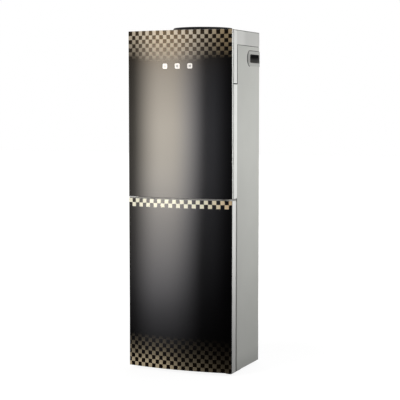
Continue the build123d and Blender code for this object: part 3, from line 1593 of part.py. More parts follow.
liner_front_y = lower_rear_y - door_liner
with BuildPart() as lower_door_frame:
    with BuildSketch(Plane.XY.offset(lower_door_bottom)):
        add(bowed_plan(glass, half_width, liner_front_y))
    extrude(amount=lower_door_height)
    with BuildSketch(Plane.XY.offset(lower_door_bottom + lower_rim)):
        add(bowed_plan(glass + door_skin, half_width - lower_rim, liner_front_y))
    extrude(amount=lower_door_height - 2 * lower_rim, mode=Mode.SUBTRACT)
    with BuildSketch(Plane.XY.offset(lower_door_bottom)):
        with Locations((lower_pin_x, lower_pin_y)):
            Circle(lower_pin_r + pin_clearance)
    extrude(amount=pin_length + pin_end, mode=Mode.SUBTRACT)
    with BuildSketch(Plane.XY.offset(lower_door_top)):
        with Locations((lower_pin_x, lower_pin_y)):
            Circle(lower_pin_r + pin_clearance)
    extrude(amount=-(pin_length + pin_end), mode=Mode.SUBTRACT)
    with BuildSketch(Plane.XY.offset(lower_door_top - 2 * scoop_length)):
        with Locations((-half_width, liner_front_y)):
            Circle(scoop_radius)
    extrude(amount=scoop_length, mode=Mode.SUBTRACT)
lower_door_frame.part.label = "lower_door_frame"
export_step(lower_door_frame.part, "parts/lower_door_frame.step")

lower_door_mid_z = (lower_door_bottom + lower_door_top) / 2
liner_plate_half = half_width - scoop_radius - scoop_margin
bulge_width = 2 * (half_width - door_liner_margin)
bulge_height = lower_door_height - 2 * door_liner_margin
with BuildPart() as lower_door_liner:
    with BuildSketch(facing(liner_front_y)):
        with Locations((0, lower_door_mid_z)):
            RectangleRounded(2 * liner_plate_half, lower_door_height - 2 * door_liner, door_liner_corner)
    extrude(amount=-door_liner)
    with BuildSketch(facing(lower_rear_y)):
        with Locations((0, lower_door_mid_z)):
            RectangleRounded(bulge_width, bulge_height, bulge_corner)
    extrude(amount=-door_liner_bulge, taper=bulge_taper)
    with BuildSketch(facing(liner_front_y)):
        with Locations((0, lower_door_mid_z)):
            RectangleRounded(
                bulge_width - 2 * door_liner, bulge_height - 2 * door_liner, bulge_corner - door_liner
            )
    extrude(amount=-door_liner_bulge, taper=bulge_taper, mode=Mode.SUBTRACT)
lower_door_liner.part.label = "lower_door_liner"
export_step(lower_door_liner.part, "parts/lower_door_liner.step")

gasket_half = lower_pin_x
gasket_top = lower_door_top - lower_pin_inset
gasket_bottom = lower_door_bottom + lower_pin_inset
with BuildPart() as lower_door_gasket:
    with BuildSketch(facing(lower_rear_y)):
        with Locations((0, (gasket_bottom + gasket_top) / 2)):
            RectangleRounded(2 * gasket_half, gasket_top - gasket_bottom, gasket_corner)
            Rectangle(
                2 * (gasket_half - gasket_width),
                gasket_top - gasket_bottom - 2 * gasket_width,
                mode=Mode.SUBTRACT,
            )
    extrude(amount=-gasket_base)
    with BuildSketch(facing(lower_rear_y + gasket_base)):
        with Locations((0, (gasket_bottom + gasket_top) / 2)):
            RectangleRounded(
                2 * (gasket_half - gasket_step), gasket_top - gasket_bottom - 2 * gasket_step, gasket_corner
            )
            Rectangle(
                2 * (gasket_half - gasket_width + gasket_step),
                gasket_top - gasket_bottom - 2 * (gasket_width - gasket_step),
                mode=Mode.SUBTRACT,
            )
    extrude(amount=-(gasket_gap - gasket_base - fit_gap))
lower_door_gasket.part.label = "lower_door_gasket"
export_step(lower_door_gasket.part, "parts/lower_door_gasket.step")

# Hinges
with BuildPart() as top_hinge_pin:
    with BuildSketch(Plane.XY.offset(upper_door_top - pin_length)):
        with Locations((upper_pin_x, upper_pin_y)):
            Circle(top_pin_r)
    extrude(amount=pin_length + lip_gap + pin_seat)
top_hinge_pin.part.label = "top_hinge_pin"
export_step(top_hinge_pin.part, "parts/top_hinge_pin.step")

mid_hinge_front_y = upper_pin_y - upper_pin_inset
hinge_back_y = panel_y - fit_gap
mid_plate_z = lower_door_top + (door_gap - hinge_plate) / 2
with BuildPart() as mid_hinge:
    with BuildSketch(Plane.XY.offset(mid_plate_z)):
        with Locations((hinge_x, (mid_hinge_front_y + hinge_back_y) / 2)):
            Rectangle(hinge_width, hinge_back_y - mid_hinge_front_y)
    extrude(amount=hinge_plate)
    with BuildSketch(Plane.XY.offset(mid_plate_z)):
        with Locations((hinge_x, hinge_back_y - hinge_plate / 2)):
            Rectangle(hinge_width, hinge_plate)
    extrude(amount=hinge_leg)
    with BuildSketch(Plane.XY.offset(mid_plate_z + hinge_plate)):
        with Locations((upper_pin_x, upper_pin_y)):
            Circle(upper_pin_r)
    extrude(amount=pin_length)
    with BuildSketch(Plane.XY.offset(mid_plate_z)):
        with Locations((lower_pin_x, lower_pin_y)):
            Circle(lower_pin_r)
    extrude(amount=-pin_length)
mid_hinge.part.label = "mid_hinge"
export_step(mid_hinge.part, "parts/mid_hinge.step")

bottom_hinge_front_y = corner_y + upper_pin_inset
bottom_hinge_back_y = panel_y + hinge_leg
with BuildPart() as bottom_hinge:
    with BuildSketch(Plane.XY.offset(foot_height - hinge_plate)):
        with Locations((hinge_x, (bottom_hinge_front_y + bottom_hinge_back_y) / 2)):
            Rectangle(hinge_width, bottom_hinge_back_y - bottom_hinge_front_y)
    extrude(amount=hinge_plate)
    with BuildSketch(Plane.XY.offset(foot_height)):
        with Locations((lower_pin_x, lower_pin_y)):
            Circle(lower_pin_r)
    extrude(amount=pin_length)
bottom_hinge.part.label = "bottom_hinge"
export_step(bottom_hinge.part, "parts/bottom_hinge.step")
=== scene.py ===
import math

import bmesh
import bpy
from mathutils import Matrix, Vector


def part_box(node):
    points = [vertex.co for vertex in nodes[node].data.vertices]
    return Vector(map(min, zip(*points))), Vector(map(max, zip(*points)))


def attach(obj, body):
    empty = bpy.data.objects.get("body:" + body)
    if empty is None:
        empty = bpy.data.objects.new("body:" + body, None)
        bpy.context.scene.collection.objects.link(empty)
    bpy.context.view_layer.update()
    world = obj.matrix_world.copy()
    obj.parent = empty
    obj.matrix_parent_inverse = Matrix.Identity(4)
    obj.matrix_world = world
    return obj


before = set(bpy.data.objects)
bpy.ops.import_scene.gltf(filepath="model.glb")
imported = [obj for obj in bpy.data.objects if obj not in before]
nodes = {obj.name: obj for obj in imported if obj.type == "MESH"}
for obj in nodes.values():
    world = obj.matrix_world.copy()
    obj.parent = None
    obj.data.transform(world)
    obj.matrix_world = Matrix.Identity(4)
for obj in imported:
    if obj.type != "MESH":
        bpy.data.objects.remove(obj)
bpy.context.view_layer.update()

scene = bpy.context.scene
scene.view_settings.view_transform = "Standard"
mm = 0.001
print("frame loaded:", len(nodes), "nodes")


# helpers for nodes: an input is set to a plain value, or linked where the value is another node's output

def feed(tree, socket, value):
    if isinstance(value, bpy.types.NodeSocket):
        tree.links.new(value, socket)
    else:
        socket.default_value = value


def addNode(tree, kind, inputs=None, **settings):
    node = tree.nodes.new(kind)
    for key, value in settings.items():
        setattr(node, key, value)
    for key, value in (inputs or {}).items():
        feed(tree, node.inputs[key], value)
    return node


def mathNode(tree, operation, a, b=0.0):
    return addNode(tree, "ShaderNodeMath", {0: a, 1: b}, operation=operation).outputs[0]


def blendColor(tree, factor, a, b):
    return addNode(tree, "ShaderNodeMix", {0: factor, 6: a, 7: b}, data_type="RGBA").outputs[2]


def rangeNode(tree, value, fromMin, fromMax, toMin, toMax, smooth=False):
    inputs = {0: value, 1: fromMin, 2: fromMax, 3: toMin, 4: toMax}
    kind = "SMOOTHSTEP" if smooth else "LINEAR"
    return addNode(tree, "ShaderNodeMapRange", inputs, interpolation_type=kind).outputs[0]


def noiseNode(tree, vector, scale, detail, rough):
    inputs = {"Vector": vector, "Scale": scale, "Detail": detail, "Roughness": rough}
    return addNode(tree, "ShaderNodeTexNoise", inputs).outputs[0]


# a ramp along a coordinate, with its stops as places in mm, each with a number or a colour
def placeRamp(tree, value, stops):
    first, last = stops[0][0], stops[-1][0]
    place = rangeNode(tree, value, first * mm, last * mm, 0.0, 1.0)
    node = addNode(tree, "ShaderNodeValToRGB", {0: place})
    elements = node.color_ramp.elements
    while len(elements) < len(stops):
        elements.new(1.0)
    # all places come before the colours, because the ramp keeps its elements in order
    for element, stop in zip(elements, stops):
        element.position = (stop[0] - first) / (last - first)
    for element, stop in zip(elements, stops):
        element.color = stop[1] if isinstance(stop[1], tuple) else (stop[1], stop[1], stop[1], 1.0)
    return node.outputs[0]


def objectPlace(tree):
    return addNode(tree, "ShaderNodeTexCoord").outputs["Object"]


def axesOf(tree, vector):
    return addNode(tree, "ShaderNodeSeparateXYZ", {0: vector}).outputs


def newGroup(name, inputs, outputs):
    tree = bpy.data.node_groups.new(name, "ShaderNodeTree")
    for label, kind, value in inputs:
        socket = tree.interface.new_socket(label, in_out="INPUT", socket_type="NodeSocket" + kind)
        if value is not None:
            socket.default_value = value
    for label in outputs:
        tree.interface.new_socket(label, in_out="OUTPUT", socket_type="NodeSocketFloat")
    return tree, addNode(tree, "NodeGroupInput").outputs, addNode(tree, "NodeGroupOutput").inputs


def useGroup(tree, group, inputs):
    return addNode(tree, "ShaderNodeGroup", inputs, node_tree=group).outputs


# textures shared by the materials: each gives a fine height, and slow patches of tone
textureStyle = dict(
    grainDetail=3.0, grainRough=0.55, grainScale=900.0, grainPatch=9.0,
    brushDetail=4.0, brushRough=0.6, brushScale=300.0, brushPatch=14.0,
    beadEdge=0.12, beadScale=260.0, beadPatch=20.0, patchDetail=2.0, patchRough=0.5,
)


def patchNode(tree, vector, scale):
    return noiseNode(tree, vector, scale, textureStyle["patchDetail"], textureStyle["patchRough"])


# grain of a moulded or coated face
def makeGrainGroup():
    sockets = [
        ("Vector", "Vector", None),
        ("Scale", "Float", textureStyle["grainScale"]),
        ("Patch Scale", "Float", textureStyle["grainPatch"]),
    ]
    tree, given, result = newGroup("surfaceGrain", sockets, ["Height", "Patch"])
    detail, rough = textureStyle["grainDetail"], textureStyle["grainRough"]
    feed(tree, result["Height"], noiseNode(tree, given["Vector"], given["Scale"], detail, rough))
    feed(tree, result["Patch"], patchNode(tree, given["Vector"], given["Patch Scale"]))
    return tree


# drawn lines of brushed or rolled metal, long in one direction
def makeBrushGroup():
    sockets = [
        ("Vector", "Vector", None),
        ("Stretch", "Vector", (1.0, 1.0, 1.0)),
        ("Scale", "Float", textureStyle["brushScale"]),
    ]
    tree, given, result = newGroup("brushedLines", sockets, ["Height", "Patch"])
    inputs = {0: given["Vector"], 1: given["Stretch"]}
    drawn = addNode(tree, "ShaderNodeVectorMath", inputs, operation="MULTIPLY").outputs[0]
    detail, rough = textureStyle["brushDetail"], textureStyle["brushRough"]
    feed(tree, result["Height"], noiseNode(tree, drawn, given["Scale"], detail, rough))
    feed(tree, result["Patch"], patchNode(tree, given["Vector"], textureStyle["brushPatch"]))
    return tree


# closed beads of expanded foam
def makeBeadGroup():
    sockets = [("Vector", "Vector", None), ("Scale", "Float", textureStyle["beadScale"])]
    tree, given, result = newGroup("foamBeads", sockets, ["Height", "Patch"])
    inputs = {"Vector": given["Vector"], "Scale": given["Scale"]}
    cells = addNode(tree, "ShaderNodeTexVoronoi", inputs, feature="DISTANCE_TO_EDGE").outputs[0]
    feed(tree, result["Height"], rangeNode(tree, cells, 0.0, textureStyle["beadEdge"], 0.0, 1.0))
    feed(tree, result["Patch"], patchNode(tree, given["Vector"], textureStyle["beadPatch"]))
    return tree


# printed squares: 1 on every other square of a grid counted in columns and rows
def makeSquareGroup():
    sockets = [("Across", "Float", 0.0), ("Up", "Float", 0.0)]
    tree, given, result = newGroup("printedSquares", sockets, ["Mask"])
    column = mathNode(tree, "FLOOR", given["Across"])
    row = mathNode(tree, "FLOOR", given["Up"])
    odd = mathNode(tree, "FLOORED_MODULO", mathNode(tree, "ADD", column, row), 2.0)
    feed(tree, result["Mask"], mathNode(tree, "GREATER_THAN", odd, 0.5))
    return tree


grainGroup = makeGrainGroup()
textureGroups = {"grain": grainGroup, "brushed": makeBrushGroup(), "beads": makeBeadGroup()}
squareGroup = makeSquareGroup()
print("shader groups ready")


# zones of a finish with a colour of their own: painted shadow in seams and grooves, pale side faces on the
# cover's legs, and painted light on the side faces of the strips and edges
coverLow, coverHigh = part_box("top_cover")
panelLow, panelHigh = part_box("right_side_panel")
far = 2.0
zoneStyle = dict(
    shadow=(0.03, 0.03, 0.028, 1.0), leg=(0.80, 0.80, 0.775, 1.0), strip=(0.84, 0.84, 0.81, 1.0),
    edge=(0.93, 0.93, 0.90, 1.0), skin=1.0 * mm, legBack=4 * mm, grooveDrops=(2.2 * mm, 1.0 * mm),
    panelTop=1.6 * mm, legFoot=1.2 * mm, seamSkin=3 * mm, seamBack=2.2 * mm,
)
sideFace = (panelHigh.x - zoneStyle["skin"], far)
groove = tuple(coverHigh.z - drop for drop in zoneStyle["grooveDrops"])
coverZones = [
    (zoneStyle["leg"], dict(side=sideFace, y=(-far, panelLow.y - zoneStyle["legBack"]))),
    (zoneStyle["shadow"], dict(z=groove)),
    (zoneStyle["shadow"], dict(y=(panelLow.y, far), z=(0.0, panelHigh.z + zoneStyle["panelTop"]))),
    (zoneStyle["shadow"], dict(z=(0.0, coverLow.z + zoneStyle["legFoot"]))),
]
# painted light: the side faces of the strips and edges are paler than their fronts
litStripZones = [(zoneStyle["strip"], dict(side=sideFace))]
litEdgeZones = [(zoneStyle["edge"], dict(side=sideFace))]
panelSeam = dict(
    side=(panelHigh.x - zoneStyle["seamSkin"], far),
    y=(-far, panelLow.y + zoneStyle["seamBack"]),
    z=(coverLow.z, far),
)
panelZones = [(zoneStyle["shadow"], panelSeam)]

# finishes: texture is grain unless said; fade, a painted shade, holds an axis, its start and end, and the
# share left there
finishes = {
    "panelCoat": dict(
        color=(0.49, 0.495, 0.465), rough=0.42, scale=420.0, bump=0.05, tone=0.03, zones=panelZones,
        # painted shade, darker towards the foot of the panel
        fade=("Z", 60 * mm, 5 * mm, 0.82),
    ),
    "coverMoulding": dict(
        color=(0.636, 0.636, 0.61), rough=0.40, scale=1100.0, bump=0.04, tone=0.02, zones=coverZones,
        # painted shade, darker towards the rear of the cover
        fade=("Y", -65 * mm, -28 * mm, 0.82),
    ),
    "stripMoulding": dict(
        color=(0.78, 0.78, 0.755), rough=0.33, scale=900.0, bump=0.03, tone=0.02, zones=litStripZones,
        # painted shade, darker towards the foot of the strips
        fade=("Z", 380 * mm, 30 * mm, 0.58),
    ),
    "edgeMoulding": dict(
        color=(0.78, 0.78, 0.755), rough=0.36, scale=900.0, bump=0.03, tone=0.02, zones=litEdgeZones,
    ),
    "hingeCoat": dict(color=(0.30, 0.30, 0.29), rough=0.5, scale=600.0, bump=0.05, tone=0.1),
    "zincSheet": dict(
        color=(0.50, 0.51, 0.52), rough=0.38, metallic=0.85, texture="brushed", stretch=(0.15, 1.0, 1.0),
        scale=160.0, bump=0.05, tone=0.12,
    ),
    "rearSheet": dict(
        color=(0.40, 0.41, 0.41), rough=0.45, metallic=0.6, texture="brushed", stretch=(1.0, 1.0, 0.1),
        scale=180.0, bump=0.04, tone=0.08,
    ),
    "blackCoat": dict(color=(0.018, 0.018, 0.019), rough=0.38, scale=500.0, bump=0.08, tone=0.25),
    "padRubber": dict(color=(0.022, 0.022, 0.022), rough=0.78, scale=800.0, bump=0.15, tone=0.2),
    "gasketRubber": dict(color=(0.055, 0.055, 0.056), rough=0.7, scale=900.0, bump=0.08, tone=0.1),
    "linerMoulding": dict(color=(0.80, 0.80, 0.775), rough=0.45, scale=700.0, bump=0.06, tone=0.03),
    "blackMoulding": dict(color=(0.016, 0.016, 0.017), rough=0.42, scale=1000.0, bump=0.06, tone=0.15),
    "seatMoulding": dict(
        color=(0.004, 0.004, 0.005), rough=0.5, specular=0.2, scale=1000.0, bump=0.03, tone=0.15,
    ),
    "bayMoulding": dict(color=(0.050, 0.050, 0.053), rough=0.5, scale=620.0, bump=0.14, tone=0.1),
    "tankSteel": dict(
        color=(0.60, 0.60, 0.585), rough=0.28, metallic=1.0, texture="brushed", stretch=(0.06, 0.06, 1.0),
        scale=420.0, bump=0.06, tone=0.06,
    ),
    "grilleSteel": dict(
        color=(0.62, 0.62, 0.61), rough=0.26, metallic=1.0, texture="brushed", stretch=(0.05, 1.0, 1.0),
        scale=500.0, bump=0.06, tone=0.05,
    ),
    "beadFoam": dict(
        color=(0.83, 0.83, 0.80), rough=0.85, texture="beads", scale=240.0, bump=0.35, tone=0.05,
    ),
    "evaporatorSheet": dict(
        color=(0.70, 0.71, 0.72), rough=0.32, metallic=1.0, texture="brushed", stretch=(1.0, 1.0, 0.08),
        scale=260.0, bump=0.05, tone=0.06,
    ),
    "copperTube": dict(
        color=(0.68, 0.33, 0.19), rough=0.30, metallic=1.0, scale=240.0, bump=0.03, tone=0.22,
    ),
    "clearHose": dict(color=(0.70, 0.71, 0.69), rough=0.35, scale=300.0, bump=0.02, tone=0.04),
    "tapShell": dict(
        color=(0.62, 0.62, 0.61), rough=0.22, metallic=0.35, scale=900.0, bump=0.02, tone=0.03,
    ),
    "hotRed": dict(color=(0.52, 0.018, 0.016), rough=0.28, scale=900.0, bump=0.03, tone=0.06),
    "coldBlue": dict(color=(0.016, 0.10, 0.46), rough=0.28, scale=900.0, bump=0.03, tone=0.06),
    "lightGuide": dict(color=(0.86, 0.88, 0.86), rough=0.3, scale=700.0, bump=0.02, tone=0.02),
    "boardLaminate": dict(color=(0.025, 0.17, 0.07), rough=0.4, scale=1500.0, bump=0.08, tone=0.12),
    "ferrite": dict(color=(0.045, 0.043, 0.042), rough=0.6, scale=1200.0, bump=0.12, tone=0.15),
    "pinSteel": dict(
        color=(0.68, 0.68, 0.68), rough=0.18, metallic=1.0, texture="brushed", stretch=(1.0, 1.0, 0.1),
        scale=700.0, bump=0.02, tone=0.04,
    ),
    "screwSteel": dict(
        color=(0.55, 0.55, 0.54), rough=0.25, metallic=1.0, scale=1500.0, bump=0.03, tone=0.1,
    ),
}

# the nodes that wear each finish
wearing = {
    "panelCoat": ["left_side_panel", "right_side_panel"],
    "coverMoulding": ["top_cover"],
    "stripMoulding": ["lower_door_frame", "front_frame"],
    "edgeMoulding": ["upper_door_frame"],
    "hingeCoat": ["mid_beam", "mid_hinge", "bottom_hinge"],
    "zincSheet": ["base_pan", "tank_shelf", "hot_tank_shelf", "door_keeper"],
    "rearSheet": ["rear_panel"],
    "blackCoat": ["compressor", "condenser_tube", "condenser_wires"],
    "padRubber": ["feet", "compressor_grommets", "cord_gland"],
    "gasketRubber": ["lower_door_gasket"],
    "linerMoulding": [
        "cabinet_liner", "lower_door_liner", "tank_baffle", "water_probe", "cabinet_shelf", "drain_pipe",
    ],
    "blackMoulding": [
        "condenser_brackets", "compressor_terminal_cover", "switch_housing", "drain_cap", "drip_tray",
    ],
    "seatMoulding": ["bottle_seat"],
    "bayMoulding": ["tap_bay"],
    "tankSteel": ["cold_tank", "hot_tank"],
    "grilleSteel": ["drip_grille"],
    "beadFoam": ["cold_tank_insulation", "hot_tank_insulation"],
    "evaporatorSheet": ["evaporator_sleeve"],
    "copperTube": ["refrigerant_lines", "filter_drier"],
    "clearHose": ["water_hoses"],
    "tapShell": ["hot_tap", "cold_tap", "hot_tap_stem", "cold_tap_stem"],
    "hotRed": ["hot_tap_lever", "hot_switch_rocker"],
    "coldBlue": ["cold_tap_lever", "cold_switch_rocker"],
    "lightGuide": ["indicator_lenses"],
    "boardLaminate": ["indicator_board"],
    "ferrite": ["door_magnet"],
    "pinSteel": ["top_hinge_pin"],
    "gripMoulding": ["left_hand_grip", "right_hand_grip"],
    "doorGlass": ["upper_door_glass", "lower_door_glass"],
}

# how far the textures are taken: parts of their range, spread of the roughness, depth of the bump
surfaceStyle = dict(patch=(0.3, 0.7), height=(0.2, 0.8), roughSpread=0.12, bumpDepth=0.6 * mm)
black = (0.0, 0.0, 0.0, 1.0)


def emptyTree(owner):
    owner.use_nodes = True
    owner.node_tree.nodes.clear()
    return owner.node_tree


def newMaterial(name):
    material = bpy.data.materials.new(name)
    tree = emptyTree(material)
    output = addNode(tree, "ShaderNodeOutputMaterial")
    shader = addNode(tree, "ShaderNodeBsdfPrincipled")
    feed(tree, output.inputs[0], shader.outputs[0])
    return material, tree, shader.inputs


# 1 inside a box of object space, where side is the distance from the middle
def boxMask(tree, place, box):
    axes = axesOf(tree, place)
    values = {"side": mathNode(tree, "ABSOLUTE", axes["X"]), "y": axes["Y"], "z": axes["Z"]}
    mask = None
    for axis, (low, high) in box.items():
        for operation, limit in (("GREATER_THAN", low), ("LESS_THAN", high)):
            within = mathNode(tree, operation, values[axis], limit)
            mask = within if mask is None else mathNode(tree, "MULTIPLY", mask, within)
    return mask


def roughOver(tree, height, rough, spread):
    high = min(1.0, rough * (1 + spread))
    return rangeNode(tree, height, *surfaceStyle["height"], rough * (1 - spread), high)


def bumpOver(tree, height, strength):
    inputs = {"Strength": strength, "Distance": surfaceStyle["bumpDepth"], "Height": height}
    return addNode(tree, "ShaderNodeBump", inputs).outputs[0]


def makeFinish(name, style):
    material, tree, shader = newMaterial(name)
    place = objectPlace(tree)
    inputs = {"Vector": place, "Scale": style["scale"]}
    if "stretch" in style:
        inputs["Stretch"] = style["stretch"]
    pattern = useGroup(tree, textureGroups[style.get("texture", "grain")], inputs)
    low = [c * (1 - style["tone"]) for c in style["color"]] + [1.0]
    high = [min(1.0, c * (1 + style["tone"])) for c in style["color"]] + [1.0]
    patch = rangeNode(tree, pattern["Patch"], *surfaceStyle["patch"], 0.0, 1.0)
    color = blendColor(tree, patch, low, high)
    # zones lay their colours over it, painted shadow and painted light among them
    for tint, box in style.get("zones", []):
        color = blendColor(tree, boxMask(tree, place, box), color, tint)
    # painted shade: the colour darkens along an axis
    if "fade" in style:
        axis, start, end, share = style["fade"]
        shadedColor = blendColor(tree, 1.0 - share, color, black)
        along = rangeNode(tree, axesOf(tree, place)[axis], start, end, 0.0, 1.0, True)
        color = blendColor(tree, along, color, shadedColor)
    feed(tree, shader["Base Color"], color)
    rough = roughOver(tree, pattern["Height"], style["rough"], surfaceStyle["roughSpread"])
    feed(tree, shader["Roughness"], rough)
    feed(tree, shader["Metallic"], style.get("metallic", 0.0))
    feed(tree, shader["Specular IOR Level"], style.get("specular", 0.5))
    feed(tree, shader["Normal"], bumpOver(tree, pattern["Height"], style["bump"]))
    return material


made = {name: makeFinish(name, style) for name, style in finishes.items()}

# hand grips: bezel in the panel's colour, and a pocket with painted shade that darkens from its floor to
# its roof
gripStyle = dict(
    panelX=156 * mm, bendY=70.1 * mm, below=0.7 * mm, scale=900.0, bump=0.04, rough=(0.42, 0.7),
    color=(0.41, 0.413, 0.39, 1.0), shade=(0.39, 0.393, 0.37, 1.0),
    # painted shade at the bezel's front end
    end=(0.20, 0.20, 0.19, 1.0), endShadeDepth=24 * mm, endShadeHeights=(12 * mm, 18 * mm),
    # painted shade in the pocket, from its pale floor to its dark roof
    floor=(0.55, 0.55, 0.535, 1.0), roof=(0.03, 0.03, 0.03, 1.0), pocketLevels=(-12 * mm, 6 * mm),
)
gripLow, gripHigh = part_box("right_hand_grip")
gripMiddle = (gripLow.z + gripHigh.z) / 2


def makeGrip():
    material, tree, shader = newMaterial("gripMoulding")
    place = objectPlace(tree)
    grain = useGroup(tree, grainGroup, {"Vector": place, "Scale": gripStyle["scale"]})
    axes = axesOf(tree, place)
    # a point is in the pocket where it lies below both the panel's flat side and its bent rear corner
    side = mathNode(tree, "ABSOLUTE", axes["X"])
    flat = mathNode(tree, "SUBTRACT", side, gripStyle["panelX"])
    corner = gripStyle["panelX"] + gripStyle["bendY"]
    bent = mathNode(tree, "SUBTRACT", mathNode(tree, "ADD", side, axes["Y"]), corner)
    bent = mathNode(tree, "MULTIPLY", bent, math.sqrt(0.5))
    inside = mathNode(tree, "LESS_THAN", mathNode(tree, "MAXIMUM", flat, bent), -gripStyle["below"])
    coat = blendColor(tree, grain["Patch"], gripStyle["color"], gripStyle["shade"])
    level = mathNode(tree, "SUBTRACT", axes["Z"], gripMiddle)
    # painted shade: the bezel darkens towards its round front end
    end = rangeNode(tree, axes["Y"], gripLow.y, gripLow.y + gripStyle["endShadeDepth"], 1.0, 0.0)
    height = mathNode(tree, "ABSOLUTE", level)
    end = mathNode(tree, "MULTIPLY", end, rangeNode(tree, height, *gripStyle["endShadeHeights"], 1.0, 0.0))
    coat = blendColor(tree, end, coat, gripStyle["end"])
    # painted shade in the pocket, pale at its floor and dark under its roof
    deep = rangeNode(tree, level, *gripStyle["pocketLevels"], 0.0, 1.0)
    pocket = blendColor(tree, deep, gripStyle["floor"], gripStyle["roof"])
    feed(tree, shader["Base Color"], blendColor(tree, inside, coat, pocket))
    feed(tree, shader["Roughness"], rangeNode(tree, inside, 0.0, 1.0, *gripStyle["rough"]))
    feed(tree, shader["Normal"], bumpOver(tree, grain["Height"], gripStyle["bump"]))
    return material


made["gripMoulding"] = makeGrip()
print("finishes:", len(made))


# door glass: black enamel behind bowed glass, with printed squares at top, middle and bottom
glassLow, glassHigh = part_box("lower_door_glass")
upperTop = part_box("upper_door_glass")[1].z
glassStyle = dict(
    bow=15.5 * mm, front=-157.4 * mm, rough=(0.10, 0.13), specular=0.25, smearScale=60.0, smearPatch=6.0,
    black=(0.0010, 0.0009, 0.0010, 1.0), brown=(0.0040, 0.0024, 0.0010, 1.0),
    edgeNormal=0.8, edgeDark=(0.012, 0.012, 0.012, 1.0), edgeLight=(0.80, 0.80, 0.77, 1.0),
    edgeFade=(570 * mm, 930 * mm),
)
halfWidth = glassHigh.x
bowRadius = (halfWidth**2 + glassStyle["bow"] ** 2) / (2 * glassStyle["bow"])
bowCenter = glassStyle["front"] + bowRadius
halfArc = bowRadius * math.asin(halfWidth / bowRadius)

# bands of squares: columns over the whole pane, height of a row, and the count at the edge where it starts
topBand = dict(
    columns=28.1, row=11.3 * mm, start=-0.15, rowStart=-0.15, fade=[(866, 0.0), (888, 0.40), (940, 1.0)],
    middle=-20 * mm, reach=(75 * mm, 115 * mm), sink=9 * mm,
    gold=(0.49, 0.44, 0.365, 1.0), bronze=(0.31, 0.235, 0.14, 1.0),
    # the dull ranges are painted: less light reflects off the squares there
    dullRight=(43 * mm, 131 * mm), dullLeft=(-95 * mm, -135 * mm), dullLeftMost=0.40,
)
midBand = dict(
    columns=26.7, row=11.3 * mm, start=1.0, rows=2.0,
    cream=(0.84, 0.80, 0.62, 1.0), amber=(0.68, 0.50, 0.30, 1.0), warmRight=(75 * mm, 150 * mm),
)
lowBand = dict(
    columns=27.25, row=12.0 * mm, start=1.4, gold=(0.425, 0.35, 0.235, 1.0),
    fade=[(8, 1.5), (22, 1.1), (45, 0.55), (67, 0.24), (103, 0.0)],
    # across is a painted reflection, brightest on the left
    across=[(-156, 0.9), (-60, 1.0), (14, 0.35), (50, 0.25), (131, 0.08)],
)


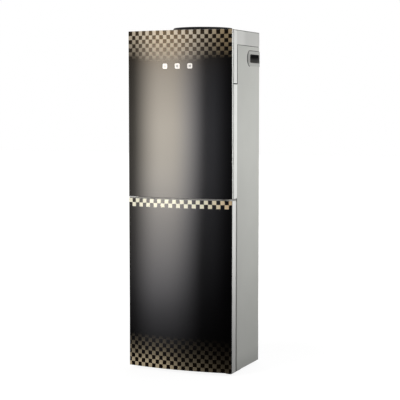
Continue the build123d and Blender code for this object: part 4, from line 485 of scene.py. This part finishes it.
def makeDoorGlass():
    material, tree, shader = newMaterial("doorGlass")
    coord = addNode(tree, "ShaderNodeTexCoord").outputs
    axes = axesOf(tree, coord["Object"])
    turn = mathNode(tree, "ARCTAN2", axes["X"], mathNode(tree, "SUBTRACT", bowCenter, axes["Y"]))
    along = mathNode(tree, "ADD", mathNode(tree, "MULTIPLY", turn, bowRadius), halfArc)

    # mask of one band, its columns counted along the bow from the left edge of the pane
    def maskOf(band, up):
        across = mathNode(tree, "DIVIDE", along, 2 * halfArc / band["columns"])
        across = mathNode(tree, "MAXIMUM", mathNode(tree, "ADD", across, band["start"]), 0.0)
        return useGroup(tree, squareGroup, {"Across": across, "Up": up})["Mask"]

    topUp = mathNode(tree, "DIVIDE", mathNode(tree, "SUBTRACT", upperTop, axes["Z"]), topBand["row"])
    topUp = mathNode(tree, "MAXIMUM", mathNode(tree, "ADD", topUp, topBand["rowStart"]), 0.0)
    midUp = mathNode(tree, "DIVIDE", mathNode(tree, "SUBTRACT", glassHigh.z, axes["Z"]), midBand["row"])
    lowUp = mathNode(tree, "DIVIDE", mathNode(tree, "SUBTRACT", axes["Z"], glassLow.z), lowBand["row"])

    # the top band ends higher near both sides
    outward = mathNode(tree, "ABSOLUTE", mathNode(tree, "SUBTRACT", axes["X"], topBand["middle"]))
    sink = rangeNode(tree, outward, *topBand["reach"], 0.0, topBand["sink"])
    topFade = placeRamp(tree, mathNode(tree, "SUBTRACT", axes["Z"], sink), topBand["fade"])
    lowFade = placeRamp(tree, axes["Z"], lowBand["fade"])
    banded = mathNode(tree, "MAXIMUM", topFade, lowFade)
    color = blendColor(tree, banded, glassStyle["black"], glassStyle["brown"])

    # top band, its printed squares painted duller towards both sides, standing in for weaker reflected
    # light there
    dull = rangeNode(tree, axes["X"], *topBand["dullRight"], 0.0, 1.0)
    dullLeft = rangeNode(tree, axes["X"], *topBand["dullLeft"], 0.0, topBand["dullLeftMost"])
    gold = blendColor(tree, mathNode(tree, "MAXIMUM", dull, dullLeft), topBand["gold"], topBand["bronze"])
    color = blendColor(tree, mathNode(tree, "MULTIPLY", maskOf(topBand, topUp), topFade), color, gold)

    # middle band, warmer towards the right
    inMid = mathNode(tree, "GREATER_THAN", midUp, 0.0)
    inMid = mathNode(tree, "MULTIPLY", inMid, mathNode(tree, "LESS_THAN", midUp, midBand["rows"]))
    warm = rangeNode(tree, axes["X"], *midBand["warmRight"], 0.0, 1.0)
    cream = blendColor(tree, warm, midBand["cream"], midBand["amber"])
    color = blendColor(tree, mathNode(tree, "MULTIPLY", maskOf(midBand, midUp), inMid), color, cream)

    # bottom band, fading upwards as printed, and towards the right as a painted reflection of light from
    # the lower left
    lit = mathNode(tree, "MULTIPLY", lowFade, placeRamp(tree, axes["X"], lowBand["across"]))
    lit = mathNode(tree, "MULTIPLY", maskOf(lowBand, lowUp), lit)
    color = blendColor(tree, lit, color, lowBand["gold"])

    # ground edges of the pane
    side = mathNode(tree, "ABSOLUTE", axesOf(tree, coord["Normal"])["X"])
    edge = mathNode(tree, "GREATER_THAN", side, glassStyle["edgeNormal"])
    up = rangeNode(tree, axes["Z"], *glassStyle["edgeFade"], 0.0, 1.0)
    ground = blendColor(tree, up, glassStyle["edgeDark"], glassStyle["edgeLight"])
    feed(tree, shader["Base Color"], blendColor(tree, edge, color, ground))

    inputs = {"Scale": glassStyle["smearScale"], "Patch Scale": glassStyle["smearPatch"]}
    smear = useGroup(tree, grainGroup, {"Vector": coord["Object"], **inputs})
    rough = rangeNode(tree, smear["Patch"], *surfaceStyle["patch"], *glassStyle["rough"])
    feed(tree, shader["Roughness"], rough)
    feed(tree, shader["Specular IOR Level"], glassStyle["specular"])
    return material


made["doorGlass"] = makeDoorGlass()
for finish, names in wearing.items():
    for name in names:
        materials = nodes[name].data.materials
        materials.clear()
        materials.append(made[finish])
print("door glass printed, nodes dressed")


# helpers for the pieces that only the scene has
paintStyle = dict(patchScale=90.0, tone=0.03, roughSpread=0.1)


def plainMaterial(name, color, rough, scale):
    material, tree, shader = newMaterial(name)
    inputs = {"Vector": objectPlace(tree), "Scale": scale, "Patch Scale": paintStyle["patchScale"]}
    grain = useGroup(tree, grainGroup, inputs)
    low = [c * (1 - paintStyle["tone"]) for c in color] + [1.0]
    feed(tree, shader["Base Color"], blendColor(tree, grain["Patch"], low, list(color) + [1.0]))
    feed(tree, shader["Roughness"], roughOver(tree, grain["Height"], rough, paintStyle["roughSpread"]))
    return material


# a point on the door glass, or lifted off it
def onGlass(x, z, lift):
    return Vector((x, bowCenter - math.sqrt((bowRadius + lift) ** 2 - x * x), z))


def meshData(name, mesh):
    shape = bpy.data.meshes.new(name)
    mesh.to_mesh(shape)
    mesh.free()
    return shape


# closed tube through rings of points, capped at both ends
def sweepShape(name, rings):
    mesh = bmesh.new()
    loops = [[mesh.verts.new(point) for point in ring] for ring in rings]
    for first, second in zip(loops, loops[1:]):
        for index in range(len(first)):
            following = (index + 1) % len(first)
            mesh.faces.new((first[index], second[index], second[following], first[following]))
    for end in (loops[0], loops[-1]):
        mesh.faces.new(end)
    bmesh.ops.recalc_face_normals(mesh, faces=mesh.faces[:])
    return meshData(name, mesh)


def addPiece(name, shape, materials, body, thick=None):
    for material in materials:
        shape.materials.append(material)
    piece = bpy.data.objects.new(name, shape)
    scene.collection.objects.link(piece)
    if thick is not None:
        skin = piece.modifiers.new("skin", "SOLIDIFY")
        skin.thickness = thick
        skin.offset = -1.0
    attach(piece, body)


# indicator tiles on the upper glass: pale rounded squares with a small sign each
tileStyle = dict(
    size=14.5 * mm, corner=3.5 * mm, cornerSteps=6, pitch=37.4 * mm, z=854.7 * mm, proud=0.12 * mm,
    thick=0.10 * mm, signLift=0.06 * mm, signThick=0.05 * mm, signPaints=(0, 1, 1),
)
tilePaint = plainMaterial("tilePaint", color=(0.86, 0.84, 0.815), rough=0.3, scale=700.0)
signPaints = [
    plainMaterial("signRose", color=(0.68, 0.58, 0.56), rough=0.4, scale=700.0),
    plainMaterial("signGrey", color=(0.26, 0.26, 0.27), rough=0.4, scale=700.0),
]


def roundedSquare(size, corner, steps):
    points = []
    inner = size / 2 - corner
    for quarter, (sx, sz) in enumerate(((1, 1), (-1, 1), (-1, -1), (1, -1))):
        for step in range(steps + 1):
            angle = math.radians(90 * quarter + 90 * step / steps)
            points.append((sx * inner + corner * math.cos(angle), sz * inner + corner * math.sin(angle)))
    return points


def addOutlines(mesh, outlines, centerX, lift, paint):
    for outline in outlines:
        loop = [mesh.verts.new(onGlass(centerX + x, tileStyle["z"] + z, lift)) for x, z in outline]
        mesh.faces.new(loop).material_index = paint


# a sheet that faces forwards, thickened behind its face
def addSheet(name, mesh, materials, thick):
    bmesh.ops.triangulate(mesh, faces=mesh.faces[:])
    bmesh.ops.recalc_face_normals(mesh, faces=mesh.faces[:])
    for face in mesh.faces:
        if face.normal.y > 0:
            face.normal_flip()
    addPiece(name, meshData(name, mesh), materials, "upper_door", thick)


# copies of some points, turned about the middle of a sign by each step of a full turn
def turnsOf(points, step):
    turns = [Matrix.Rotation(math.radians(angle), 2) for angle in range(0, 360, step)]
    return [[tuple(turn @ Vector(point)) for point in points] for turn in turns]


# a drop, a sun and a snow star, as on any such panel
signStyle = dict(
    dropTip=5.6 * mm, dropSide=[(1.4 * mm, 2.8 * mm), (2.6 * mm, 0.2 * mm)],
    bowl=3.0 * mm, bowlZ=-1.6 * mm, bowlAngles=range(160, 381, 20),
    disc=2.4 * mm, discStep=24, rayStart=3.0 * mm, rayWidth=1.1 * mm, rayStep=45,
    reach=4.8 * mm, armWidth=0.9 * mm, armStep=60,
)


def dropSign():
    bowl = signStyle["bowl"]
    angles = [math.radians(angle) for angle in signStyle["bowlAngles"]]
    curve = [(bowl * math.cos(angle), signStyle["bowlZ"] + bowl * math.sin(angle)) for angle in angles]
    right = signStyle["dropSide"]
    left = [(-x, z) for x, z in right]
    return [[(0, signStyle["dropTip"])] + left + curve + right[::-1]]


def sunSign():
    start, end, half = signStyle["rayStart"], signStyle["reach"], signStyle["rayWidth"] / 2
    ray = [(start, -half), (end, -half), (end, half), (start, half)]
    disc = sum(turnsOf([(signStyle["disc"], 0)], signStyle["discStep"]), [])
    return [disc] + turnsOf(ray, signStyle["rayStep"])


# each arm of the star is followed by the notch between it and the next
def snowSign():
    end, half = signStyle["reach"], signStyle["armWidth"] / 2
    arm = [(end, -half), (end, half), (half * math.sqrt(3), half)]
    return [sum(turnsOf(arm, signStyle["armStep"]), [])]


tiles = bmesh.new()
signs = bmesh.new()
square = roundedSquare(tileStyle["size"], tileStyle["corner"], tileStyle["cornerSteps"])
for index, sign in enumerate((dropSign(), sunSign(), snowSign())):
    x = (index - 1) * tileStyle["pitch"]
    addOutlines(tiles, [square], x, tileStyle["proud"], 0)
    addOutlines(signs, sign, x, tileStyle["proud"] + tileStyle["signLift"], tileStyle["signPaints"][index])
addSheet("indicatorTiles", tiles, [tilePaint], tileStyle["thick"])
addSheet("indicatorSigns", signs, signPaints, tileStyle["signThick"])
print("indicator tiles placed")


# thin grey strip along the top of the lower door, under the upper one: painted light, standing in for the
# light that falls into the gap between the doors
stripStyle = dict(
    left=-155.5 * mm, right=132 * mm, base=0.05 * mm, top=4.0 * mm, front=0.8 * mm, back=2.8 * mm,
    steps=48,
)


def gapStripRings():
    low, high = (glassHigh.z + stripStyle[key] for key in ("base", "top"))
    corners = ((low, "front"), (high, "front"), (high, "back"), (low, "back"))
    pace = (stripStyle["right"] - stripStyle["left"]) / stripStyle["steps"]
    rings = []
    for step in range(stripStyle["steps"] + 1):
        x = stripStyle["left"] + pace * step
        rings.append([onGlass(x, z, -stripStyle[face]) for z, face in corners])
    return rings


gapLightStrip = plainMaterial("gapLightStrip", color=(0.14, 0.14, 0.137), rough=0.45, scale=900.0)
addPiece("gapLightBumper", sweepShape("gapLightBumper", gapStripRings()), [gapLightStrip], "lower_door")
print("door bumper placed")


# screw heads by geometry nodes: a low dome with a cross recess on each point, turned to face one way
screwStyle = dict(
    segments=20, rings=10, slotLength=1.2, slotWidth=0.26, slotLifts=(1.0, 0.94), weld=0.02 * mm,
)


def screwTree():
    tree = bpy.data.node_groups.new("screwHeads", "GeometryNodeTree")
    kinds = dict(Points="Geometry", Radius="Float", Rise="Float", Facing="Vector", Finish="Material")
    for label, kind in kinds.items():
        tree.interface.new_socket(label, in_out="INPUT", socket_type="NodeSocket" + kind)
    tree.interface.new_socket("Screws", in_out="OUTPUT", socket_type="NodeSocketGeometry")
    given = addNode(tree, "NodeGroupInput").outputs
    radius, rise = given["Radius"], given["Rise"]

    def combine(x, y, z):
        return addNode(tree, "ShaderNodeCombineXYZ", {0: x, 1: y, 2: z}).outputs[0]

    def shift(shape, **change):
        return addNode(tree, "GeometryNodeTransform", {"Geometry": shape, **change}).outputs[0]

    inputs = {"Segments": screwStyle["segments"], "Rings": screwStyle["rings"], "Radius": radius}
    ball = addNode(tree, "GeometryNodeMeshUVSphere", inputs).outputs[0]
    dome = shift(ball, Scale=combine(1.0, 1.0, mathNode(tree, "DIVIDE", rise, radius)))
    cut = addNode(tree, "GeometryNodeMeshBoolean", {0: dome}, operation="DIFFERENCE")
    length = mathNode(tree, "MULTIPLY", radius, screwStyle["slotLength"])
    width = mathNode(tree, "MULTIPLY", radius, screwStyle["slotWidth"])
    # the second slot is a little deeper, so that no two faces of the cutters lie in one plane
    for (x, y), share in zip(((length, width), (width, length)), screwStyle["slotLifts"]):
        block = addNode(tree, "GeometryNodeMeshCube", {"Size": combine(x, y, rise)}).outputs[0]
        lift = combine(0.0, 0.0, mathNode(tree, "MULTIPLY", rise, share))
        tree.links.new(shift(block, Translation=lift), cut.inputs[1])
    inputs = {"Geometry": cut.outputs[0], "Distance": screwStyle["weld"]}
    head = addNode(tree, "GeometryNodeMergeByDistance", inputs).outputs[0]
    turn = addNode(tree, "FunctionNodeAlignRotationToVector", {"Vector": given["Facing"]}, axis="Z")
    inputs = {"Points": given["Points"], "Instance": head, "Rotation": turn.outputs[0]}
    spread = addNode(tree, "GeometryNodeInstanceOnPoints", inputs).outputs[0]
    whole = addNode(tree, "GeometryNodeRealizeInstances", {0: spread}).outputs[0]
    paint = addNode(tree, "GeometryNodeSetMaterial", {"Geometry": whole, "Material": given["Finish"]})
    feed(tree, addNode(tree, "NodeGroupOutput").inputs[0], paint.outputs[0])
    return tree


screwHeads = screwTree()


def placeScrews(name, points, facing, body, style):
    cloud = bpy.data.meshes.new(name + "Points")
    cloud.from_pydata(points, [], [])
    holder = bpy.data.objects.new(name + "Points", cloud)
    scene.collection.objects.link(holder)
    modifier = holder.modifiers.new("screws", "NODES")
    modifier.node_group = screwHeads
    values = {"Radius": style["radius"], "Rise": style["rise"], "Facing": facing}
    values["Finish"] = made["screwSteel"]
    for item in screwHeads.interface.items_tree:
        if item.name in values:
            modifier[item.identifier] = values[item.name]
    holder.update_tag()
    bpy.context.view_layer.update()
    ready = holder.evaluated_get(bpy.context.evaluated_depsgraph_get())
    shape = bpy.data.meshes.new_from_object(ready)
    bpy.data.objects.remove(holder)
    addPiece(name, shape, [], body)


# two upright rows of points, set in from the sides and the ends of a box
def sideRows(low, high, y, style):
    pace = (high.z - low.z - 2 * style["end"]) / (style["rows"] - 1)
    heights = [low.z + style["end"] + pace * row for row in range(style["rows"])]
    return [(x, y, z) for z in heights for x in (low.x + style["side"], high.x - style["side"])]


rearStyle = dict(radius=3.5 * mm, rise=1.5 * mm, side=5.5 * mm, end=12 * mm, rows=6)
backLow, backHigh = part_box("rear_panel")
rearPoints = sideRows(backLow, backHigh, backHigh.y, rearStyle)
placeScrews("rearScrews", rearPoints, (0, 1, 0), "cabinet", rearStyle)

switchStyle = dict(radius=2.4 * mm, rise=1.0 * mm, side=5 * mm)
plateLow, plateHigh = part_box("switch_housing")
plateZ = (plateLow.z + plateHigh.z) / 2
plateSides = (plateLow.x + switchStyle["side"], plateHigh.x - switchStyle["side"])
switchPoints = [(x, plateHigh.y, plateZ) for x in plateSides]
placeScrews("switchScrews", switchPoints, (0, 1, 0), "cabinet", switchStyle)

hingeStyle = dict(radius=2.8 * mm, rise=1.2 * mm, aside=0.5 * mm, sheet=2.8 * mm, drops=(8 * mm, 24 * mm))
legLow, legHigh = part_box("mid_hinge")
hingeX = (legLow.x + legHigh.x) / 2 - hingeStyle["aside"]
hingePoints = [(hingeX, legHigh.y - hingeStyle["sheet"], legHigh.z - drop) for drop in hingeStyle["drops"]]
placeScrews("hingeScrews", hingePoints, (0, -1, 0), "cabinet", hingeStyle)

linerStyle = dict(radius=2.6 * mm, rise=1.0 * mm, side=16 * mm, end=22 * mm, rows=4, sheet=2.0 * mm)
linerLow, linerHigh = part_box("lower_door_liner")
linerPoints = sideRows(linerLow, linerHigh, linerLow.y + linerStyle["sheet"], linerStyle)
placeScrews("linerScrews", linerPoints, (0, 1, 0), "lower_door", linerStyle)
print("screws placed")


# thin dark rim along the top and the front of each grip's bezel, bulged at the front like the bezel: a
# painted shadow line where the bezel stands off the panel
rimStyle = dict(
    gap=0.1 * mm, width=1.5 * mm, stand=0.1 * mm, shoulder=0.3 * mm, rise=0.5 * mm, round=0.25,
    bulge=20 * mm, rear=64 * mm, steps=28,
)
# section of the rim: share of its width, and height over the panel
rimSection = [
    (0.0, rimStyle["stand"]),
    (0.0, rimStyle["shoulder"]),
    (rimStyle["round"], rimStyle["rise"]),
    (1.0 - rimStyle["round"], rimStyle["rise"]),
    (1.0, rimStyle["shoulder"]),
    (1.0, rimStyle["stand"]),
]


def bezelPoints(grow):
    half = (gripHigh.z - gripLow.z) / 2
    depth = rimStyle["bulge"]
    radius = (half**2 + depth**2) / (2 * depth)
    centerY = gripLow.y + radius
    reach = math.atan2(half, radius - depth)
    points = []
    for step in range(rimStyle["steps"] + 1):
        angle = math.pi + reach - 2 * reach * step / rimStyle["steps"]
        y = centerY + (radius + grow) * math.cos(angle)
        points.append((y, gripMiddle + (radius + grow) * math.sin(angle)))
    points.append((rimStyle["rear"], gripMiddle + half + grow))
    return points


def rimRings(sign):
    inner = bezelPoints(rimStyle["gap"])
    outer = bezelPoints(rimStyle["gap"] + rimStyle["width"])
    rings = []
    for (ay, az), (by, bz) in zip(inner, outer):
        ring = []
        for share, height in rimSection:
            x = sign * (gripStyle["panelX"] + height)
            ring.append((x, ay + (by - ay) * share, az + (bz - az) * share))
        rings.append(ring)
    return rings


rimShadowLine = plainMaterial("rimShadowLine", color=(0.030, 0.030, 0.030), rough=0.6, scale=900.0)
for name, sign in (("leftGripRim", -1), ("rightGripRim", 1)):
    addPiece(name, sweepShape(name, rimRings(sign)), [rimShadowLine], "cabinet")
print("grip rims placed")


white = (1.0, 1.0, 1.0, 1.0)

# backdrop: white where it is seen, dimmer as a light and in mirrors
worldStyle = dict(seen=1.0, mirrored=0.45, ambient=0.10)


def makeWorld():
    world = bpy.data.worlds.new("studio")
    tree = emptyTree(world)
    path = addNode(tree, "ShaderNodeLightPath").outputs
    seen = mathNode(tree, "MAXIMUM", path["Is Camera Ray"], path["Is Transmission Ray"])
    dim = rangeNode(tree, path["Is Glossy Ray"], 0.0, 1.0, worldStyle["ambient"], worldStyle["mirrored"])
    strength = addNode(tree, "ShaderNodeMix", {0: seen, 2: dim, 3: worldStyle["seen"]}).outputs[0]
    sky = addNode(tree, "ShaderNodeBackground", {"Color": white, "Strength": strength})
    feed(tree, addNode(tree, "ShaderNodeOutputWorld").inputs[0], sky.outputs[0])
    return world


scene.world = makeWorld()


def flatObject(name, corners, material):
    mesh = bpy.data.meshes.new(name)
    mesh.from_pydata(corners, [], [(0, 1, 2, 3)])
    mesh.materials.append(material)
    piece = bpy.data.objects.new(name, mesh)
    scene.collection.objects.link(piece)
    return piece


# pale floor, a little darker near the object, that keeps a share of the shadow
floorStyle = dict(
    reach=14.0, bounce=0.12, seen=0.86, edges=(0.35, 1.1), glow=(0.90, 1.08), shadow=0.14,
)


def makeFloorPaint():
    material = bpy.data.materials.new("floorPaint")
    tree = emptyTree(material)
    seen = addNode(tree, "ShaderNodeLightPath").outputs["Is Camera Ray"]
    tone = rangeNode(tree, seen, 0.0, 1.0, floorStyle["bounce"], floorStyle["seen"])
    grey = addNode(tree, "ShaderNodeCombineColor", {0: tone, 1: tone, 2: tone}).outputs[0]
    matt = addNode(tree, "ShaderNodeBsdfDiffuse", {"Color": grey}).outputs[0]
    place = {0: objectPlace(tree)}
    away = addNode(tree, "ShaderNodeVectorMath", place, operation="LENGTH").outputs["Value"]
    glow = rangeNode(tree, away, *floorStyle["edges"], *floorStyle["glow"], True)
    glow = mathNode(tree, "DIVIDE", glow, 1.0 - floorStyle["shadow"])
    bright = addNode(tree, "ShaderNodeEmission", {"Color": white, "Strength": glow}).outputs[0]
    share = mathNode(tree, "MULTIPLY", seen, 1.0 - floorStyle["shadow"])
    mix = addNode(tree, "ShaderNodeMixShader", {0: share, 1: matt, 2: bright})
    feed(tree, addNode(tree, "ShaderNodeOutputMaterial").inputs[0], mix.outputs[0])
    return material


floorSigns = ((-1, -1), (1, -1), (1, 1), (-1, 1))
floorCorners = [(x * floorStyle["reach"], y * floorStyle["reach"], 0) for x, y in floorSigns]
floor = flatObject("floor", floorCorners, makeFloorPaint())
floor.visible_glossy = False

# soft card at the front left that the bowed glass mirrors: bright in its middle, dim at its rims,
# leaning to the left towards the foot, and warmer towards the top
cardStyle = dict(
    turn=-31.0, distance=2.5, fromY=-156.9 * mm, low=-1.4, high=1.3, left=-1.3, right=3.2, peak=23.4,
    leftRim=(-0.95, -0.08), rightRim=(0.10, 1.15), leftLean=0.08, rightLean=0.10,
    leanHeights=(0.55, -0.10), halo=0.06, haloEnd=(1.2, 1.7),
    cool=(1.0, 1.0, 1.1, 1.0), coolAcross=(0.25, 1.15), coolUp=(0.93, 1.02),
)
cardUp = [
    (-450, 0.0), (-250, 0.08), (200, 0.55), (400, 0.90), (650, 1.0), (950, 0.70), (1100, 0.25),
    (1300, 0.10),
]
cardTint = [
    (-300, (1.0, 0.98, 1.05, 1.0)), (500, (1.0, 0.92, 0.80, 1.0)), (950, (1.0, 0.89, 0.75, 1.0)),
    (1050, (1.1, 0.75, 0.40, 1.0)),
]


def makeCardPaint():
    material = bpy.data.materials.new("cardPaint")
    tree = emptyTree(material)
    axes = axesOf(tree, objectPlace(tree))
    rims = []
    for side, start, end in (("left", 0.0, 1.0), ("right", 1.0, 0.0)):
        lean = rangeNode(tree, axes["Z"], *cardStyle["leanHeights"], 0.0, cardStyle[side + "Lean"])
        across = mathNode(tree, "ADD", axes["X"], lean)
        rims.append(rangeNode(tree, across, *cardStyle[side + "Rim"], start, end, True))
    halo = rangeNode(tree, axes["X"], *cardStyle["haloEnd"], cardStyle["halo"], 0.0)
    bell = mathNode(tree, "MAXIMUM", mathNode(tree, "MULTIPLY", *rims), halo)
    bell = mathNode(tree, "MULTIPLY", bell, placeRamp(tree, axes["Z"], cardUp))
    strength = mathNode(tree, "MULTIPLY", bell, cardStyle["peak"])
    cool = rangeNode(tree, axes["X"], *cardStyle["coolAcross"], 0.0, 1.0)
    coolUp = rangeNode(tree, axes["Z"], *cardStyle["coolUp"], 1.0, 0.0, True)
    cool = mathNode(tree, "MULTIPLY", cool, coolUp)
    tint = blendColor(tree, cool, placeRamp(tree, axes["Z"], cardTint), cardStyle["cool"])
    shine = addNode(tree, "ShaderNodeEmission", {"Color": tint, "Strength": strength})
    feed(tree, addNode(tree, "ShaderNodeOutputMaterial").inputs[0], shine.outputs[0])
    return material


left, right, low, high = (cardStyle[key] for key in ("left", "right", "low", "high"))
cardCorners = [(left, 0, low), (right, 0, low), (right, 0, high), (left, 0, high)]
card = flatObject("softCard", cardCorners, makeCardPaint())
angle, distance = math.radians(cardStyle["turn"]), cardStyle["distance"]
card.location = (math.sin(angle) * distance, cardStyle["fromY"] - math.cos(angle) * distance, 0)
card.rotation_euler = (0, 0, angle)
for sight in ("camera", "diffuse", "transmission", "volume_scatter", "shadow"):
    setattr(card, "visible_" + sight, False)

# soft lamps around the object
lamps = {
    "keyLamp": dict(place=(-1.9, -3.0, 2.2), aim=(0.0, 0.0, 0.6), size=(2.2, 2.2), power=155.0),
    "sideLamp": dict(place=(0.95, 0.1, 0.70), aim=(0.156, 0.1, 0.70), size=(0.5, 0.58), power=6.7),
    "topLamp": dict(place=(0.2, 0.5, 3.0), aim=(0.0, 0.0, 0.9), size=(1.8, 1.8), power=24.0),
    "rearLamp": dict(place=(-1.4, 3.0, 2.0), aim=(0.0, 0.1, 0.5), size=(2.0, 2.0), power=40.0),
}
for name, style in lamps.items():
    data = bpy.data.lights.new(name, "AREA")
    data.shape = "RECTANGLE"
    data.size, data.size_y = style["size"]
    data.energy = style["power"]
    lamp = bpy.data.objects.new(name, data)
    scene.collection.objects.link(lamp)
    lamp.location = style["place"]
    facing = Vector(style["aim"]) - Vector(style["place"])
    lamp.rotation_euler = facing.to_track_quat("-Z", "Y").to_euler()
    lamp.visible_glossy = False
    lamp.visible_camera = False
print("lights set")

# camera at the photograph's place in mm, with its focal length in pixels of a frame 400 wide
cameraStyle = dict(
    focal=1236.3, frameWidth=400, sensor=36.0, clipEnd=50.0,
    yaw=23.05, pitch=4.394, place=(1394.0, -3273.3, 747.9),
)
cameraData = bpy.data.cameras.new("camera")
cameraData.sensor_fit = "HORIZONTAL"
cameraData.sensor_width = cameraStyle["sensor"]
cameraData.lens = cameraStyle["focal"] * cameraStyle["sensor"] / cameraStyle["frameWidth"]
cameraData.clip_end = cameraStyle["clipEnd"]
camera = bpy.data.objects.new("camera", cameraData)
scene.collection.objects.link(camera)
camera.location = [value * mm for value in cameraStyle["place"]]
camera.rotation_euler = (math.radians(90 - cameraStyle["pitch"]), 0, math.radians(cameraStyle["yaw"]))
scene.camera = camera
print("camera set")
